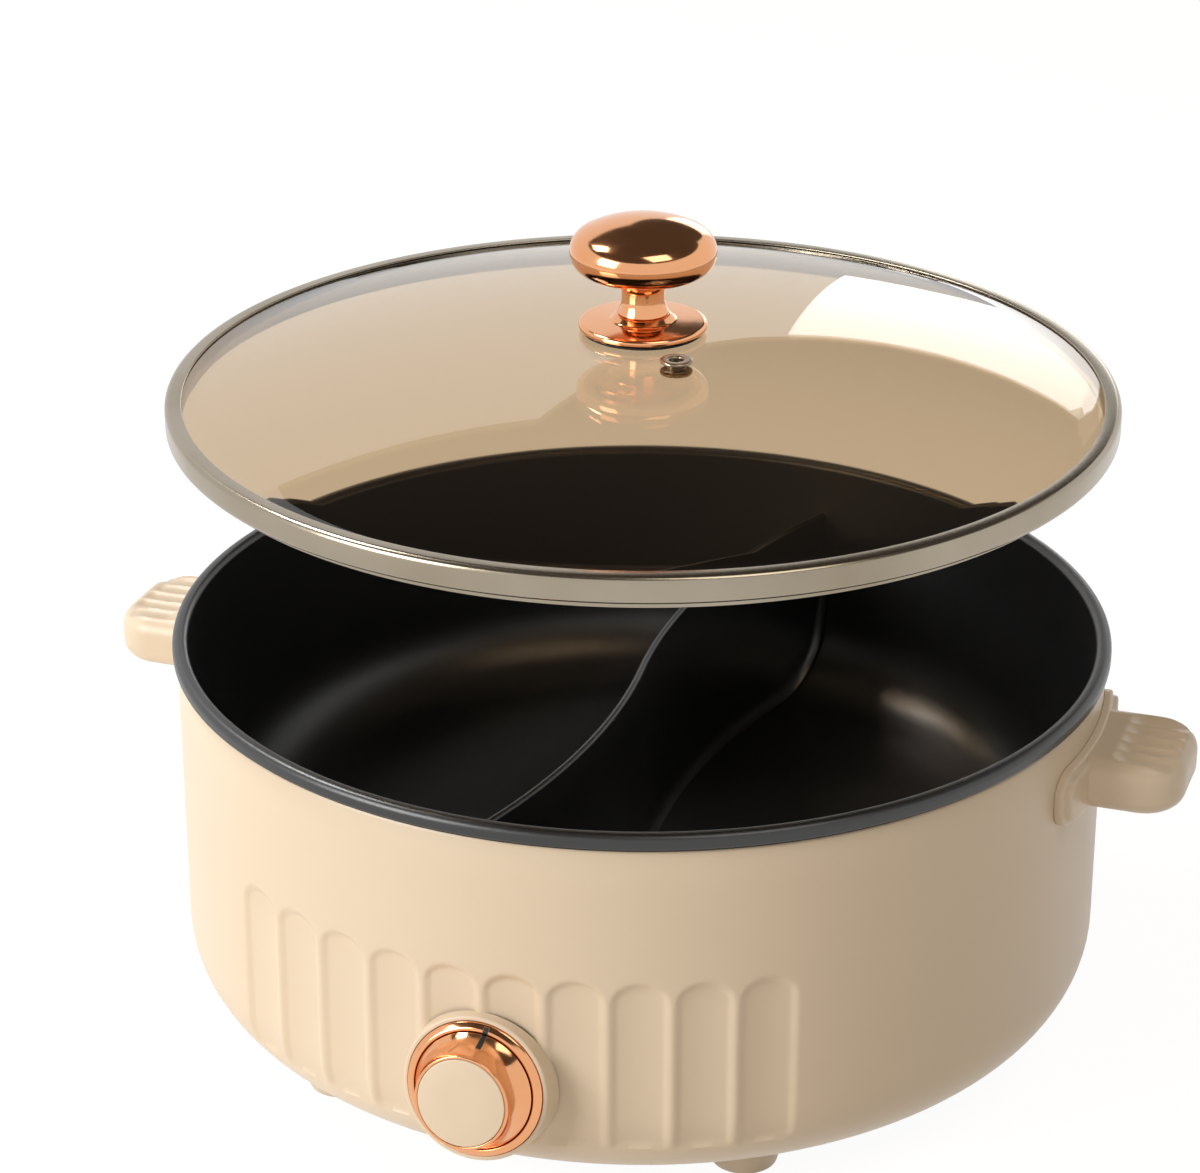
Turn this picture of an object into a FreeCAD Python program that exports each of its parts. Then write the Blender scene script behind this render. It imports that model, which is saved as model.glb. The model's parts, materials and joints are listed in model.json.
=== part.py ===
import FreeCAD, Part
import math
import os
import Sketcher

DOC = FreeCAD.newDocument("hot_pot")
SHEET = DOC.addObject("Spreadsheet::Sheet", "Sizes")
SHEET.Label = "Sizes"

# Driving dimensions in millimetres and degrees, measured from the table up.
DRIVING = {
    # Cooking pot and rim
    "rim_radius": 150.0,
    "rim_height": 130.0,
    "rim_width": 5.0,
    "rim_depth": 4.6,
    "rim_round": 2.0,
    "pot_wall": 1.5,
    "pot_taper": 3.0,
    "pot_depth": 82.0,
    "pot_corner": 26.0,
    "pot_floor": 2.6,
    "seat_gap": 0.3,
    "contact_gap": 0.1,
    # Dividing wall
    "divider_wall": 2.6,
    "divider_drop": 18.0,
    "divider_end_angle": 8.1,
    "divider_sagitta": 9.8,
    # Outer shell
    "shell_inset": 1.5,
    "shell_wall": 1.8,
    "shell_corner": 27.0,
    "shell_lift": 7.0,
    "shell_ledge": 28.5,
    "shell_lining": 0.9,
    # Flutes in the shell
    "flute_count": 10.0,
    "flute_pitch": 7.35,
    "flute_depth": 1.3,
    "flute_curve": 26.0,
    "flute_top": 73.0,
    "flute_round": 12.0,
    # Underside
    "cover_thickness": 2.5,
    "cover_lap": 7.0,
    "vent_count": 12.0,
    "vent_ring": 62.0,
    "vent_width": 4.0,
    "vent_length": 22.0,
    "foot_inset": 29.5,
    "foot_angle": 56.0,
    "foot_radius": 12.0,
    "foot_taper": 1.8,
    "foot_rise": 4.0,
    "foot_pad_radius": 7.0,
    "foot_pad_height": 1.8,
    "cover_screw_inset": 3.5,
    "cover_screw_angle": 15.0,
    "screw_boss_radius": 3.4,
    "screw_boss_height": 9.0,
    "screw_radius": 1.5,
    "screw_head_radius": 2.9,
    "screw_head_height": 1.8,
    "screw_length": 8.0,
    # Heater stack
    "element_ring": 82.0,
    "element_radius": 4.0,
    "element_gap_angle": 50.0,
    "terminal_radius": 1.6,
    "terminal_length": 16.0,
    "reflector_inset": 4.0,
    "reflector_wall": 0.8,
    "reflector_rim": 8.0,
    "reflector_drop": 14.0,
    "reflector_round": 4.0,
    "stud_radius": 3.0,
    "stud_clearance": 0.2,
    "spacer_wall": 2.5,
    "nut_across": 10.0,
    "nut_height": 3.0,
    "thermostat_radius": 8.0,
    "thermostat_height": 7.0,
    "thermostat_place": 38.0,
    "fuse_radius": 2.2,
    "fuse_length": 20.0,
    "fuse_place": 52.0,
    # Control knob
    "knob_tilt": 8.8,
    "knob_drop": 1.4,
    "knob_standoff": 5.5,
    "bezel_radius": 22.7,
    "bezel_flare": 0.8,
    "bezel_round": 0.9,
    "bezel_wall": 2.0,
    "bezel_depth": 16.0,
    "trim_radius": 21.2,
    "trim_width": 2.6,
    "trim_height": 1.6,
    "knob_gap": 0.35,
    "knob_height_out": 11.65,
    "knob_waist": 15.2,
    "knob_face_radius": 14.6,
    "cap_radius": 13.6,
    "cap_depth": 3.0,
    "cap_proud": 0.5,
    "shaft_radius": 3.0,
    "shaft_length": 21.0,
    "bush_radius": 4.5,
    "bush_length": 12.0,
    "switch_width": 20.0,
    "switch_tall": 14.0,
    "switch_depth": 9.0,
    "case_round": 3.0,
    # Side handles
    "handle_top_drop": 16.8,
    "handle_thickness": 17.4,
    "handle_half_width": 21.5,
    "handle_standoff": 31.0,
    "handle_round": 13.5,
    "handle_edge": 6.2,
    "handle_ribs": 5.0,
    "handle_rib_pitch": 6.6,
    "handle_rib_radius": 5.2,
    "handle_rib_depth": 1.0,
    "handle_rib_start": 7.0,
    "handle_rib_end": 4.5,
    "plate_half_length": 36.0,
    "plate_height": 19.0,
    "plate_out": 2.8,
    "plate_step": 1.8,
    "plate_round": 8.0,
    "plate_drop": 16.4,
    "peg_radius": 2.4,
    "peg_half_pitch": 12.0,
    # Power inlet
    "inlet_drop": 1.4,
    "inlet_width": 31.0,
    "inlet_tall": 24.5,
    "inlet_standoff": 15.5,
    "inlet_inside": 6.0,
    "inlet_wall": 3.0,
    "inlet_round": 4.0,
    "inlet_flange": 4.5,
    "inlet_flange_thick": 3.0,
    "socket_depth": 16.0,
    "pin_pitch": 7.0,
    "pin_rise": 4.0,
    "pin_width": 4.0,
    "pin_thick": 2.0,
    "pin_out": 12.0,
    "pin_tail": 12.0,
    # Lid
    "lid_lift": 71.2,
    "band_inset": 1.45,
    "band_height": 8.6,
    "band_wall": 0.8,
    "band_flange": 5.2,
    "band_lip": 2.4,
    "band_lip_gap": 0.6,
    "glass_thickness": 4.0,
    "glass_rise": 19.4,
    "glass_clearance": 0.3,
    "knob_hole_radius": 5.0,
    "gasket_thickness": 1.0,
    "flange_radius": 20.0,
    "flange_edge": 2.4,
    "neck_radius": 6.7,
    "neck_height": 15.6,
    "grip_radius": 22.8,
    "grip_edge": 7.0,
    "grip_height": 17.8,
    "lid_screw_radius": 2.5,
    "lid_washer_radius": 11.0,
    "vent_hole_place": 30.0,
    "vent_hole_angle": -52.0,
    "vent_hole_radius": 3.0,
    "vent_ring_width": 2.0,
}


def fill_sheet():
    for row, (name, number) in enumerate(DRIVING.items(), start=1):
        SHEET.set(f"A{row}", name)
        SHEET.set(f"B{row}", str(number))
        SHEET.setAlias(f"B{row}", name)
    DOC.recompute()


class Size:
    """A number together with the spreadsheet formula that gives it."""

    def __init__(self, number, text):
        self.number = float(number)
        self.text = text

    def join(self, other, sign, number):
        return Size(number, f"({self.text} {sign} {as_size(other).text})")

    def __add__(self, other):
        return self.join(other, "+", self.number + as_size(other).number)

    def __radd__(self, other):
        return as_size(other) + self

    def __sub__(self, other):
        return self.join(other, "-", self.number - as_size(other).number)

    def __rsub__(self, other):
        return as_size(other) - self

    def __mul__(self, other):
        return self.join(other, "*", self.number * as_size(other).number)

    def __rmul__(self, other):
        return as_size(other) * self

    def __truediv__(self, other):
        return self.join(other, "/", self.number / as_size(other).number)

    def __neg__(self):
        return as_size(0) - self


def as_size(value):
    return value if isinstance(value, Size) else Size(value, repr(float(value)))


def size(name):
    return Size(DRIVING[name], f"Sizes.{name}")


def sine(angle):
    return Size(math.sin(math.radians(angle.number)), f"sin({angle.text})")


def cosine(angle):
    return Size(math.cos(math.radians(angle.number)), f"cos({angle.text})")


def arc_sine(value):
    return Size(math.degrees(math.asin(value.number)), f"(asin({value.text}) / 1 deg)")


def root(value):
    return Size(math.sqrt(value.number), f"sqrt({value.text})")


fill_sheet()

PIECES = []


def new_body(label):
    body = DOC.addObject("PartDesign::Body", label)
    body.Label = label
    PIECES.append(body)
    return body


def origin_part(body, role):
    return next(item for item in body.Origin.OriginFeatures if item.Role == role)


def bind(thing, prop, value):
    thing.setExpression(prop, as_size(value).text)


def new_sketch(body, label, plane, offset=None, turn=None):
    """A sketch on one of the body's origin planes, moved along the plane's normal or turned."""
    sketch = body.newObject("Sketcher::SketchObject", label)
    sketch.AttachmentSupport = [(origin_part(body, plane), "")]
    sketch.MapMode = "FlatFace"
    if offset is not None:
        bind(sketch, "AttachmentOffset.Base.z", offset)
    if turn is not None:
        sketch.AttachmentOffset = FreeCAD.Placement(
            FreeCAD.Vector(), FreeCAD.Rotation(FreeCAD.Vector(0, 1, 0), 1)
        )
        bind(sketch, "AttachmentOffset.Rotation.Angle", turn)
    return sketch


def pin_point(sketch, geometry, end, x, y):
    for kind, axis, value in (("DistanceX", -2, x), ("DistanceY", -1, y)):
        value = as_size(value)
        if value.text == "0.0":
            sketch.addConstraint(Sketcher.Constraint("PointOnObject", geometry, end, axis))
            continue
        index = sketch.addConstraint(
            Sketcher.Constraint(kind, -1, 1, geometry, end, value.number)
        )
        bind(sketch, f"Constraints[{index}]", value)


def arc_between(start, finish, radius, left):
    """The short arc from start to finish; left puts its centre left of the chord."""
    chord = finish - start
    half = chord.Length / 2
    away = math.sqrt(max(radius * radius - half * half, 0.0))
    normal = FreeCAD.Vector(-chord.y, chord.x, 0).normalize()
    centre = (start + finish) / 2 + normal * (away if left else -away)
    angles = [math.atan2(p.y - centre.y, p.x - centre.x) for p in (start, finish)]
    if not left:
        angles.reverse()
    if angles[1] < angles[0]:
        angles[1] += 2 * math.pi
    circle = Part.Circle(centre, FreeCAD.Vector(0, 0, 1), radius)
    return Part.ArcOfCircle(circle, angles[0], angles[1])


def outline(sketch, steps):
    """A closed outline. Each step is (x, y), or (x, y, radius, left) for an arc to that point."""
    points = [FreeCAD.Vector(as_size(s[0]).number, as_size(s[1]).number, 0) for s in steps]
    ends = []
    for index, step in enumerate(steps):
        start = points[index - 1]
        if len(step) == 2:
            edge = Part.LineSegment(start, points[index])
            ends.append((sketch.addGeometry(edge, False), 1, 2))
            continue
        radius = as_size(step[2])
        geometry = sketch.addGeometry(
            arc_between(start, points[index], radius.number, step[3]), False
        )
        ends.append((geometry, 1, 2) if step[3] else (geometry, 2, 1))
        number = sketch.addConstraint(Sketcher.Constraint("Radius", geometry, radius.number))
        bind(sketch, f"Constraints[{number}]", radius)
    for index, (geometry, _, finish) in enumerate(ends):
        following, start, _ = ends[(index + 1) % len(ends)]
        sketch.addConstraint(Sketcher.Constraint("Coincident", geometry, finish, following, start))
        pin_point(sketch, geometry, finish, steps[index][0], steps[index][1])


def circle_in(sketch, x, y, radius):
    radius = as_size(radius)
    centre = FreeCAD.Vector(as_size(x).number, as_size(y).number, 0)
    shape = Part.Circle(centre, FreeCAD.Vector(0, 0, 1), radius.number)
    geometry = sketch.addGeometry(shape, False)
    number = sketch.addConstraint(Sketcher.Constraint("Radius", geometry, radius.number))
    bind(sketch, f"Constraints[{number}]", radius)
    pin_point(sketch, geometry, 3, x, y)


def box_steps(x0, y0, x1, y1):
    return [(x0, y0), (x1, y0), (x1, y1), (x0, y1)]


def rounded_steps(half_x, half_y, radius, middle_y=0):
    """A rectangle about (0, middle_y) with round corners, run counter-clockwise."""
    low = middle_y - half_y
    high = middle_y + half_y
    return [
        (half_x - radius, low),
        (half_x, low + radius, radius, True),
        (half_x, high - radius),
        (half_x - radius, high, radius, True),
        (radius - half_x, high),
        (-half_x, high - radius, radius, True),
        (-half_x, low + radius),
        (radius - half_x, low, radius, True),
    ]


def turn_outline(body, steps, label="turned", plane="XZ_Plane"):
    """Turn an outline about the body's upright axis."""
    sketch = new_sketch(body, f"{label}_outline", plane)
    outline(sketch, steps)
    feature = body.newObject("PartDesign::Revolution", label)
    feature.Profile = sketch
    feature.ReferenceAxis = (sketch, ["V_Axis"])
    feature.Angle = 360
    return feature


def pad(body, sketch, length, label="pad", middle=False):
    feature = body.newObject("PartDesign::Pad", label)
    feature.Profile = sketch
    feature.SideType = "Symmetric" if middle else "One side"
    bind(feature, "Length", length)
    return feature


def pocket(body, sketch, length, label="pocket", middle=False, reverse=False):
    """Cut a sketch along its normal and check that the cut takes something away."""
    DOC.recompute()
    before = body.Shape.Volume
    feature = body.newObject("PartDesign::Pocket", label)
    feature.Profile = sketch
    feature.SideType = "Symmetric" if middle else "One side"
    feature.Reversed = reverse
    bind(feature, "Length", length)
    DOC.recompute()
    if body.Shape.Volume > before - 0.01:
        raise RuntimeError(f"{body.Label}: {label} cuts nothing")
    return feature


def is_level(edge):
    """True for an edge that lies flat and isn't the slab's root edge."""
    box = edge.BoundBox
    return box.ZLength < 0.001 and box.XMax > SHELL_R.number


def round_edges(body, base, radius, wanted):
    names = [f"Edge{i}" for i, edge in enumerate(base.Shape.Edges, start=1) if wanted(edge)]
    feature = body.newObject("PartDesign::Fillet", "rounded")
    feature.Base = (base, names)
    bind(feature, "Radius", radius)
    return feature


def polar(body, features, count, angle=360, label="ring"):
    pattern = body.newObject("PartDesign::PolarPattern", label)
    pattern.Originals = features
    pattern.Axis = (origin_part(body, "Z_Axis"), [""])
    bind(pattern, "Angle", angle)
    bind(pattern, "Occurrences", count)
    body.Tip = pattern
    return pattern


def place(body, x=0, y=0, z=0, turn_axis=(0, 0, 1), turn=0):
    """Put a finished piece at a named place, turned about one axis."""
    angle = as_size(turn)
    axis = FreeCAD.Vector(*turn_axis)
    body.Placement = FreeCAD.Placement(
        FreeCAD.Vector(as_size(x).number, as_size(y).number, as_size(z).number),
        FreeCAD.Rotation(axis, angle.number),
    )
    for name, value in (("x", x), ("y", y), ("z", z)):
        bind(body, f"Placement.Base.{name}", value)
    if angle.text != "0.0":
        bind(body, "Placement.Rotation.Angle", angle)


# Sizes that several pieces share.
QUARTER = as_size(90)
RIM_Z = size("rim_height")
RIM_R = size("rim_radius")
POT_R = RIM_R - size("rim_width")
POT_FLOOR_Z = RIM_Z - size("pot_depth")
POT_UNDER_Z = POT_FLOOR_Z - size("pot_floor")
SHELL_R = RIM_R - size("shell_inset")
SHELL_Z = size("shell_lift")
SHELL_TOP = RIM_Z - size("rim_depth") - size("shell_lining")
LEDGE_R = SHELL_R - size("shell_corner") - size("shell_ledge")
COVER_R = LEDGE_R + size("cover_lap")
COVER_SCREW_R = COVER_R - size("cover_screw_inset")
COVER_SCREW_X = COVER_SCREW_R * cosine(size("cover_screw_angle"))
COVER_SCREW_Y = COVER_SCREW_R * sine(size("cover_screw_angle"))
FOOT_RING = SHELL_R - size("foot_inset")
REFLECTOR_Z = POT_UNDER_Z - size("reflector_drop")
REFLECTOR_R = POT_R - size("pot_taper") - size("pot_corner") - size("reflector_inset")
KNOB_Z = POT_UNDER_Z - size("knob_drop")
KNOB_REACH = SHELL_R + size("knob_standoff")
INLET_Z = POT_UNDER_Z - size("inlet_drop")
INLET_REACH = SHELL_R + size("inlet_standoff")
HANDLE_REACH = SHELL_R + size("handle_standoff")
HANDLE_Z = RIM_Z - size("handle_top_drop") - size("handle_thickness") / 2


def pot_inside(inset):
    """The cavity of the pot, moved in by a clearance, from the axis out and up to the rim."""
    corner = size("pot_corner") - inset
    low_r = POT_R - size("pot_taper") - inset
    floor = POT_FLOOR_Z + inset
    return [(low_r - corner, floor), (low_r, floor + corner, corner, True)]


def make_inner_pot():
    body = new_body("inner_pot")
    rounding = size("rim_round")
    wall = size("pot_wall")
    outer_corner = size("pot_corner") + wall
    outer_low = POT_R - size("pot_taper") + wall
    steps = [(0, POT_FLOOR_Z)]
    steps += pot_inside(0)
    steps += [
        (POT_R, RIM_Z - rounding),
        (POT_R + rounding, RIM_Z, rounding, False),
        (RIM_R - rounding, RIM_Z),
        (RIM_R, RIM_Z - rounding, rounding, False),
        (RIM_R, RIM_Z - size("rim_depth")),
        (POT_R + wall, RIM_Z - size("rim_depth")),
        (outer_low, POT_UNDER_Z + outer_corner),
        (outer_low - outer_corner, POT_UNDER_Z, outer_corner, False),
        (0, POT_UNDER_Z),
    ]
    turn_outline(body, steps)


def make_divider():
    """An upright wall along an S of two equal arcs, trimmed to the pot's own curve."""
    body = new_body("pot_divider")
    half = size("divider_wall") / 2
    reach = POT_R - size("seat_gap")
    angle = size("divider_end_angle")
    bow = size("divider_sagitta")
    radius = (reach * reach / 4 + bow * bow) / (2 * bow)
    end_x = reach * sine(angle)
    end_y = reach * cosine(angle)
    lean = angle - arc_sine(reach / 2 / radius)
    spin = 2 * angle - lean
    sketch = new_sketch(body, "wall_line", "XY_Plane")
    side_x, side_y = half * cosine(lean), half * sine(lean)
    tip_x, tip_y = half * cosine(spin), half * sine(spin)
    outline(sketch, [
        (end_x - tip_x, end_y + tip_y),
        (-side_x, side_y, radius + half, True),
        (-end_x - tip_x, tip_y - end_y, radius - half, False),
        (tip_x - end_x, -end_y - tip_y),
        (side_x, -side_y, radius + half, True),
        (end_x + tip_x, end_y - tip_y, radius - half, False),
    ])
    top = RIM_Z - size("divider_drop")
    pad(body, sketch, top, "wall")
    cutter = new_sketch(body, "pot_curve", "XZ_Plane")
    inset = size("seat_gap")
    far = RIM_R + size("rim_width")
    steps = [(0, POT_FLOOR_Z + inset)] + pot_inside(inset)
    steps += [(POT_R - inset, RIM_Z), (far, RIM_Z), (far, -inset), (0, -inset)]
    outline(cutter, steps)
    groove = body.newObject("PartDesign::Groove", "trim")
    groove.Profile = cutter
    groove.ReferenceAxis = (cutter, ["V_Axis"])
    groove.Angle = 360


def make_outer_shell():
    body = new_body("outer_shell")
    wall = size("shell_wall")
    corner = size("shell_corner")
    low_r = SHELL_R - corner
    steps = [
        (LEDGE_R, SHELL_Z),
        (low_r, SHELL_Z),
        (SHELL_R, SHELL_Z + corner, corner, True),
        (SHELL_R, SHELL_TOP),
        (SHELL_R - wall, SHELL_TOP),
        (SHELL_R - wall, SHELL_Z + corner),
        (low_r, SHELL_Z + wall, corner - wall, False),
        (LEDGE_R, SHELL_Z + wall),
    ]
    turn_outline(body, steps)
    DOC.recompute()
    sketch = new_sketch(
        body, "flute_outline", "YZ_Plane",
        turn=(1 - size("flute_count")) / 2 * size("flute_pitch"),
    )
    curve = size("flute_curve")
    top = size("flute_top")
    bend = size("flute_round")
    axis_y = -(SHELL_R + curve - size("flute_depth"))
    outline(sketch, [
        (axis_y, SHELL_Z - 1),
        (axis_y + curve, SHELL_Z - 1),
        (axis_y + curve, top),
        (axis_y + curve - bend, top + bend, bend, True),
        (axis_y, top + bend),
    ])
    line = Part.LineSegment(
        FreeCAD.Vector(axis_y.number, 0, 0), FreeCAD.Vector(axis_y.number, top.number, 0)
    )
    axis = sketch.addGeometry(line, True)
    pin_point(sketch, axis, 1, axis_y, 0)
    pin_point(sketch, axis, 2, axis_y, top)
    groove = body.newObject("PartDesign::Groove", "flute")
    groove.Profile = sketch
    groove.ReferenceAxis = (sketch, ["Axis0"])
    groove.Angle = 360
    sweep = (size("flute_count") - 1) * size("flute_pitch")
    polar(body, [groove], size("flute_count"), sweep, "flutes")
    DOC.recompute()
    knob_hole = new_sketch(body, "knob_hole", "XZ_Plane")
    circle_in(knob_hole, 0, KNOB_Z, size("bush_radius") + size("seat_gap") * 4)
    pocket(body, knob_hole, RIM_R + size("rim_width"), "knob_opening", reverse=True)
    inlet_hole = new_sketch(body, "inlet_hole", "XZ_Plane")
    gap = size("seat_gap")
    outline(inlet_hole, rounded_steps(
        size("inlet_width") / 2 + gap, size("inlet_tall") / 2 + gap,
        size("inlet_round") + gap, INLET_Z,
    ))
    pocket(body, inlet_hole, RIM_R + size("rim_width"), "inlet_opening")
    pegs = new_sketch(body, "peg_holes", "YZ_Plane")
    for side in (-1, 1):
        circle_in(pegs, side * size("peg_half_pitch"), HANDLE_Z,
                  size("peg_radius") + size("contact_gap"))
    pocket(body, pegs, 2 * (RIM_R + size("rim_width")), "peg_openings", middle=True)
    boss = new_sketch(body, "boss_outline", "XY_Plane", offset=SHELL_Z)
    circle_in(boss, COVER_SCREW_X, COVER_SCREW_Y, size("screw_boss_radius"))
    raised = pad(body, boss, size("screw_boss_height"), "screw_boss")
    DOC.recompute()
    polar(body, [raised], 4, 360, "screw_bosses")
    DOC.recompute()
    drill = new_sketch(body, "boss_hole", "XY_Plane", offset=SHELL_Z)
    circle_in(drill, COVER_SCREW_X, COVER_SCREW_Y, size("screw_radius"))
    drilled = pocket(body, drill, size("screw_length"), "boss_bore", reverse=True)
    polar(body, [drilled], 4, 360, "boss_bores")


def make_rim_lining():
    """The silicone ring between the pot's rim and the shell's top edge."""
    body = new_body("rim_lining")
    low = SHELL_TOP
    high = RIM_Z - size("rim_depth")
    inner = SHELL_R - size("shell_wall")
    turn_outline(body, box_steps(inner, low, SHELL_R, high))


def make_base_cover():
    body = new_body("base_cover")
    sketch = new_sketch(body, "plate_outline", "XY_Plane")
    circle_in(sketch, 0, 0, COVER_R)
    circle_in(sketch, 0, 0, size("stud_radius") + size("stud_clearance"))
    pad(body, sketch, size("cover_thickness"), "plate")
    slot = new_sketch(body, "vent_outline", "XY_Plane")
    half = size("vent_length") / 2 - size("vent_width") / 2
    ring = size("vent_ring")
    edge = size("vent_width") / 2
    outline(slot, [
        (ring + half, -edge),
        (ring + half + edge, 0, edge, True),
        (ring + half, edge, edge, True),
        (ring - half, edge),
        (ring - half - edge, 0, edge, True),
        (ring - half, -edge, edge, True),
    ])
    cut = pocket(body, slot, size("cover_thickness"), "vent", reverse=True)
    polar(body, [cut], size("vent_count"), 360, "vents")
    DOC.recompute()
    hole = new_sketch(body, "screw_hole", "XY_Plane")
    circle_in(hole, COVER_SCREW_X, COVER_SCREW_Y, size("screw_radius") + size("stud_clearance"))
    drilled = pocket(body, hole, size("cover_thickness"), "screw_opening", reverse=True)
    polar(body, [drilled], 4, 360, "screw_openings")
    place(body, z=SHELL_Z - size("cover_thickness"))


def make_shell_envelope(label):
    """The shell's outside with a seat gap, used only to cut what sits on it."""
    body = new_body(label)
    PIECES.remove(body)
    corner = size("shell_corner")
    gap = size("contact_gap")
    turn_outline(body, [
        (0, SHELL_Z - gap),
        (SHELL_R - corner, SHELL_Z - gap),
        (SHELL_R + gap, SHELL_Z + corner, corner + gap, True),
        (SHELL_R + gap, RIM_Z),
        (0, RIM_Z),
    ])
    return body


def cut_piece(label, blank, tool):
    cut = DOC.addObject("Part::Cut", label)
    cut.Label = label
    cut.Base = blank
    cut.Tool = tool
    PIECES.append(cut)


def make_foot_blank(label, x, y):
    body = new_body(label)
    PIECES.remove(body)
    low = size("foot_pad_height") / 3
    pad_r = size("foot_pad_radius") + size("contact_gap")
    top = SHELL_Z + size("foot_rise")
    turn_outline(body, [
        (0, size("foot_pad_height") / 2),
        (pad_r, size("foot_pad_height") / 2),
        (pad_r, low),
        (size("foot_radius") - size("foot_taper"), low),
        (size("foot_radius"), top),
        (0, top),
    ])
    place(body, x, y)
    return body


def make_feet():
    """Four feet cut to the shell's lower curve, each with its own rubber pad."""
    envelope = make_shell_envelope("foot_envelope")
    for side, across in (("left", -1), ("right", 1)):
        for end, along in (("front", -1), ("rear", 1)):
            x = across * FOOT_RING * cosine(size("foot_angle"))
            y = along * FOOT_RING * sine(size("foot_angle"))
            blank = make_foot_blank(f"{end}_{side}_foot_blank", x, y)
            cut_piece(f"foot_{end}_{side}", blank, envelope)
            rubber = new_body(f"foot_pad_{end}_{side}")
            turn_outline(rubber, box_steps(0, 0, size("foot_pad_radius"), size("foot_pad_height") / 2))
            place(rubber, x, y)


def make_cover_screws():
    body = new_body("cover_screws")
    head = new_sketch(body, "head_outline", "XY_Plane")
    circle_in(head, COVER_SCREW_X, COVER_SCREW_Y, size("screw_head_radius"))
    first = pad(body, head, size("screw_head_height"), "head")
    shank = new_sketch(body, "shank_outline", "XY_Plane")
    circle_in(shank, COVER_SCREW_X, COVER_SCREW_Y, size("screw_radius"))
    second = pad(body, shank, size("screw_head_height") + size("screw_length"), "shank")
    polar(body, [first, second], 4)
    place(body, z=SHELL_Z - size("cover_thickness") - size("screw_head_height"))


def make_heater_stack():
    """The tube heater under the pot, and the stud that holds reflector and cover."""
    element = new_body("heating_element")
    ring = size("element_ring")
    radius = size("element_radius")
    centre_z = POT_UNDER_Z - radius - size("seat_gap")
    sketch = new_sketch(element, "tube_section", "XZ_Plane")
    circle_in(sketch, ring, centre_z, radius)
    tube = element.newObject("PartDesign::Revolution", "ring")
    tube.Profile = sketch
    tube.ReferenceAxis = (sketch, ["V_Axis"])
    swept = 360 - size("element_gap_angle")
    bind(tube, "Angle", swept)
    for label, turn, back in (("first_pin", None, False), ("second_pin", swept, True)):
        end = new_sketch(element, f"{label}_section", "XZ_Plane", turn=turn)
        circle_in(end, ring, centre_z, size("terminal_radius"))
        feature = pad(element, end, size("terminal_length"), label)
        feature.Reversed = back
    place(element, turn=QUARTER + size("element_gap_angle") / 2)

    stud = new_body("pot_stud")
    nut_z = SHELL_Z - size("cover_thickness") - size("nut_height")
    turn_outline(stud, box_steps(0, nut_z + 1, size("stud_radius"), POT_UNDER_Z))
    hole = size("stud_radius") + size("stud_clearance")
    outer = hole + size("spacer_wall")
    upper = new_body("upper_spacer")
    turn_outline(upper, box_steps(hole, REFLECTOR_Z, outer, POT_UNDER_Z))
    lower = new_body("lower_spacer")
    turn_outline(lower, box_steps(hole, SHELL_Z, outer, REFLECTOR_Z - size("reflector_wall")))

    reflector = new_body("heat_reflector")
    wall = size("reflector_wall")
    rounding = size("reflector_round")
    far = REFLECTOR_R
    high = REFLECTOR_Z + size("reflector_rim")
    low = REFLECTOR_Z - wall
    turn_outline(reflector, [
        (hole, low),
        (far - rounding, low),
        (far, low + rounding, rounding, True),
        (far, high),
        (far - wall, high),
        (far - wall, low + rounding),
        (far - rounding, REFLECTOR_Z, rounding - wall, False),
        (hole, REFLECTOR_Z),
    ])

    nut = new_body("stud_nut")
    hexagon = new_sketch(nut, "hexagon", "XY_Plane")
    across = size("nut_across") / 2
    corner = across / cosine(as_size(30))
    outline(hexagon, [
        (corner * cosine(as_size(60 * step)), corner * sine(as_size(60 * step)))
        for step in range(6)
    ])
    circle_in(hexagon, 0, 0, size("stud_radius") + 0.05)
    pad(nut, hexagon, size("nut_height"), "nut")
    place(nut, z=nut_z)


def make_heat_controls():
    """The disc thermostat and the thermal fuse, both against the pot's underside."""
    body = new_body("thermostat")
    radius = size("thermostat_radius")
    high = size("thermostat_height")
    turn_outline(body, [
        (0, -high),
        (radius - 1.2, -high),
        (radius - 1.2, -1.4),
        (radius, -1.4),
        (radius, 0),
        (0, 0),
    ])
    place(body, 0, size("thermostat_place"), POT_UNDER_Z)
    fuse = new_body("thermal_fuse")
    sketch = new_sketch(fuse, "sleeve", "YZ_Plane")
    circle_in(sketch, -size("fuse_place"), POT_UNDER_Z - size("fuse_radius"), size("fuse_radius"))
    pad(fuse, sketch, size("fuse_length"), "sleeve_length", middle=True)


def along_knob(distance):
    """Place of a point on the knob's axis, measured outward from its reference point."""
    y = -KNOB_REACH - distance * cosine(size("knob_tilt"))
    z = KNOB_Z + distance * sine(size("knob_tilt"))
    return y, z


def place_on_knob(body, distance=0):
    y, z = along_knob(as_size(distance))
    place(body, 0, y, z, (1, 0, 0), QUARTER - size("knob_tilt"))


def make_knob_bezel():
    """The cream ring that carries the knob off the shell, cut to the shell's curve."""
    body = new_body("bezel_blank")
    PIECES.remove(body)
    outer = size("bezel_radius")
    wall = size("bezel_wall")
    inner = size("trim_radius") + 0.15
    depth = size("bezel_depth")
    back = size("bush_radius") + size("knob_gap")
    turn_outline(body, [
        (back, -depth),
        (outer + size("bezel_flare"), -depth),
        (outer, -size("bezel_round")),
        (outer - size("bezel_round"), 0, size("bezel_round"), True),
        (inner, 0),
        (inner, -wall),
        (back, -wall),
    ])
    place_on_knob(body)
    cut_piece("knob_bezel", body, make_shell_envelope("bezel_envelope"))


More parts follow.
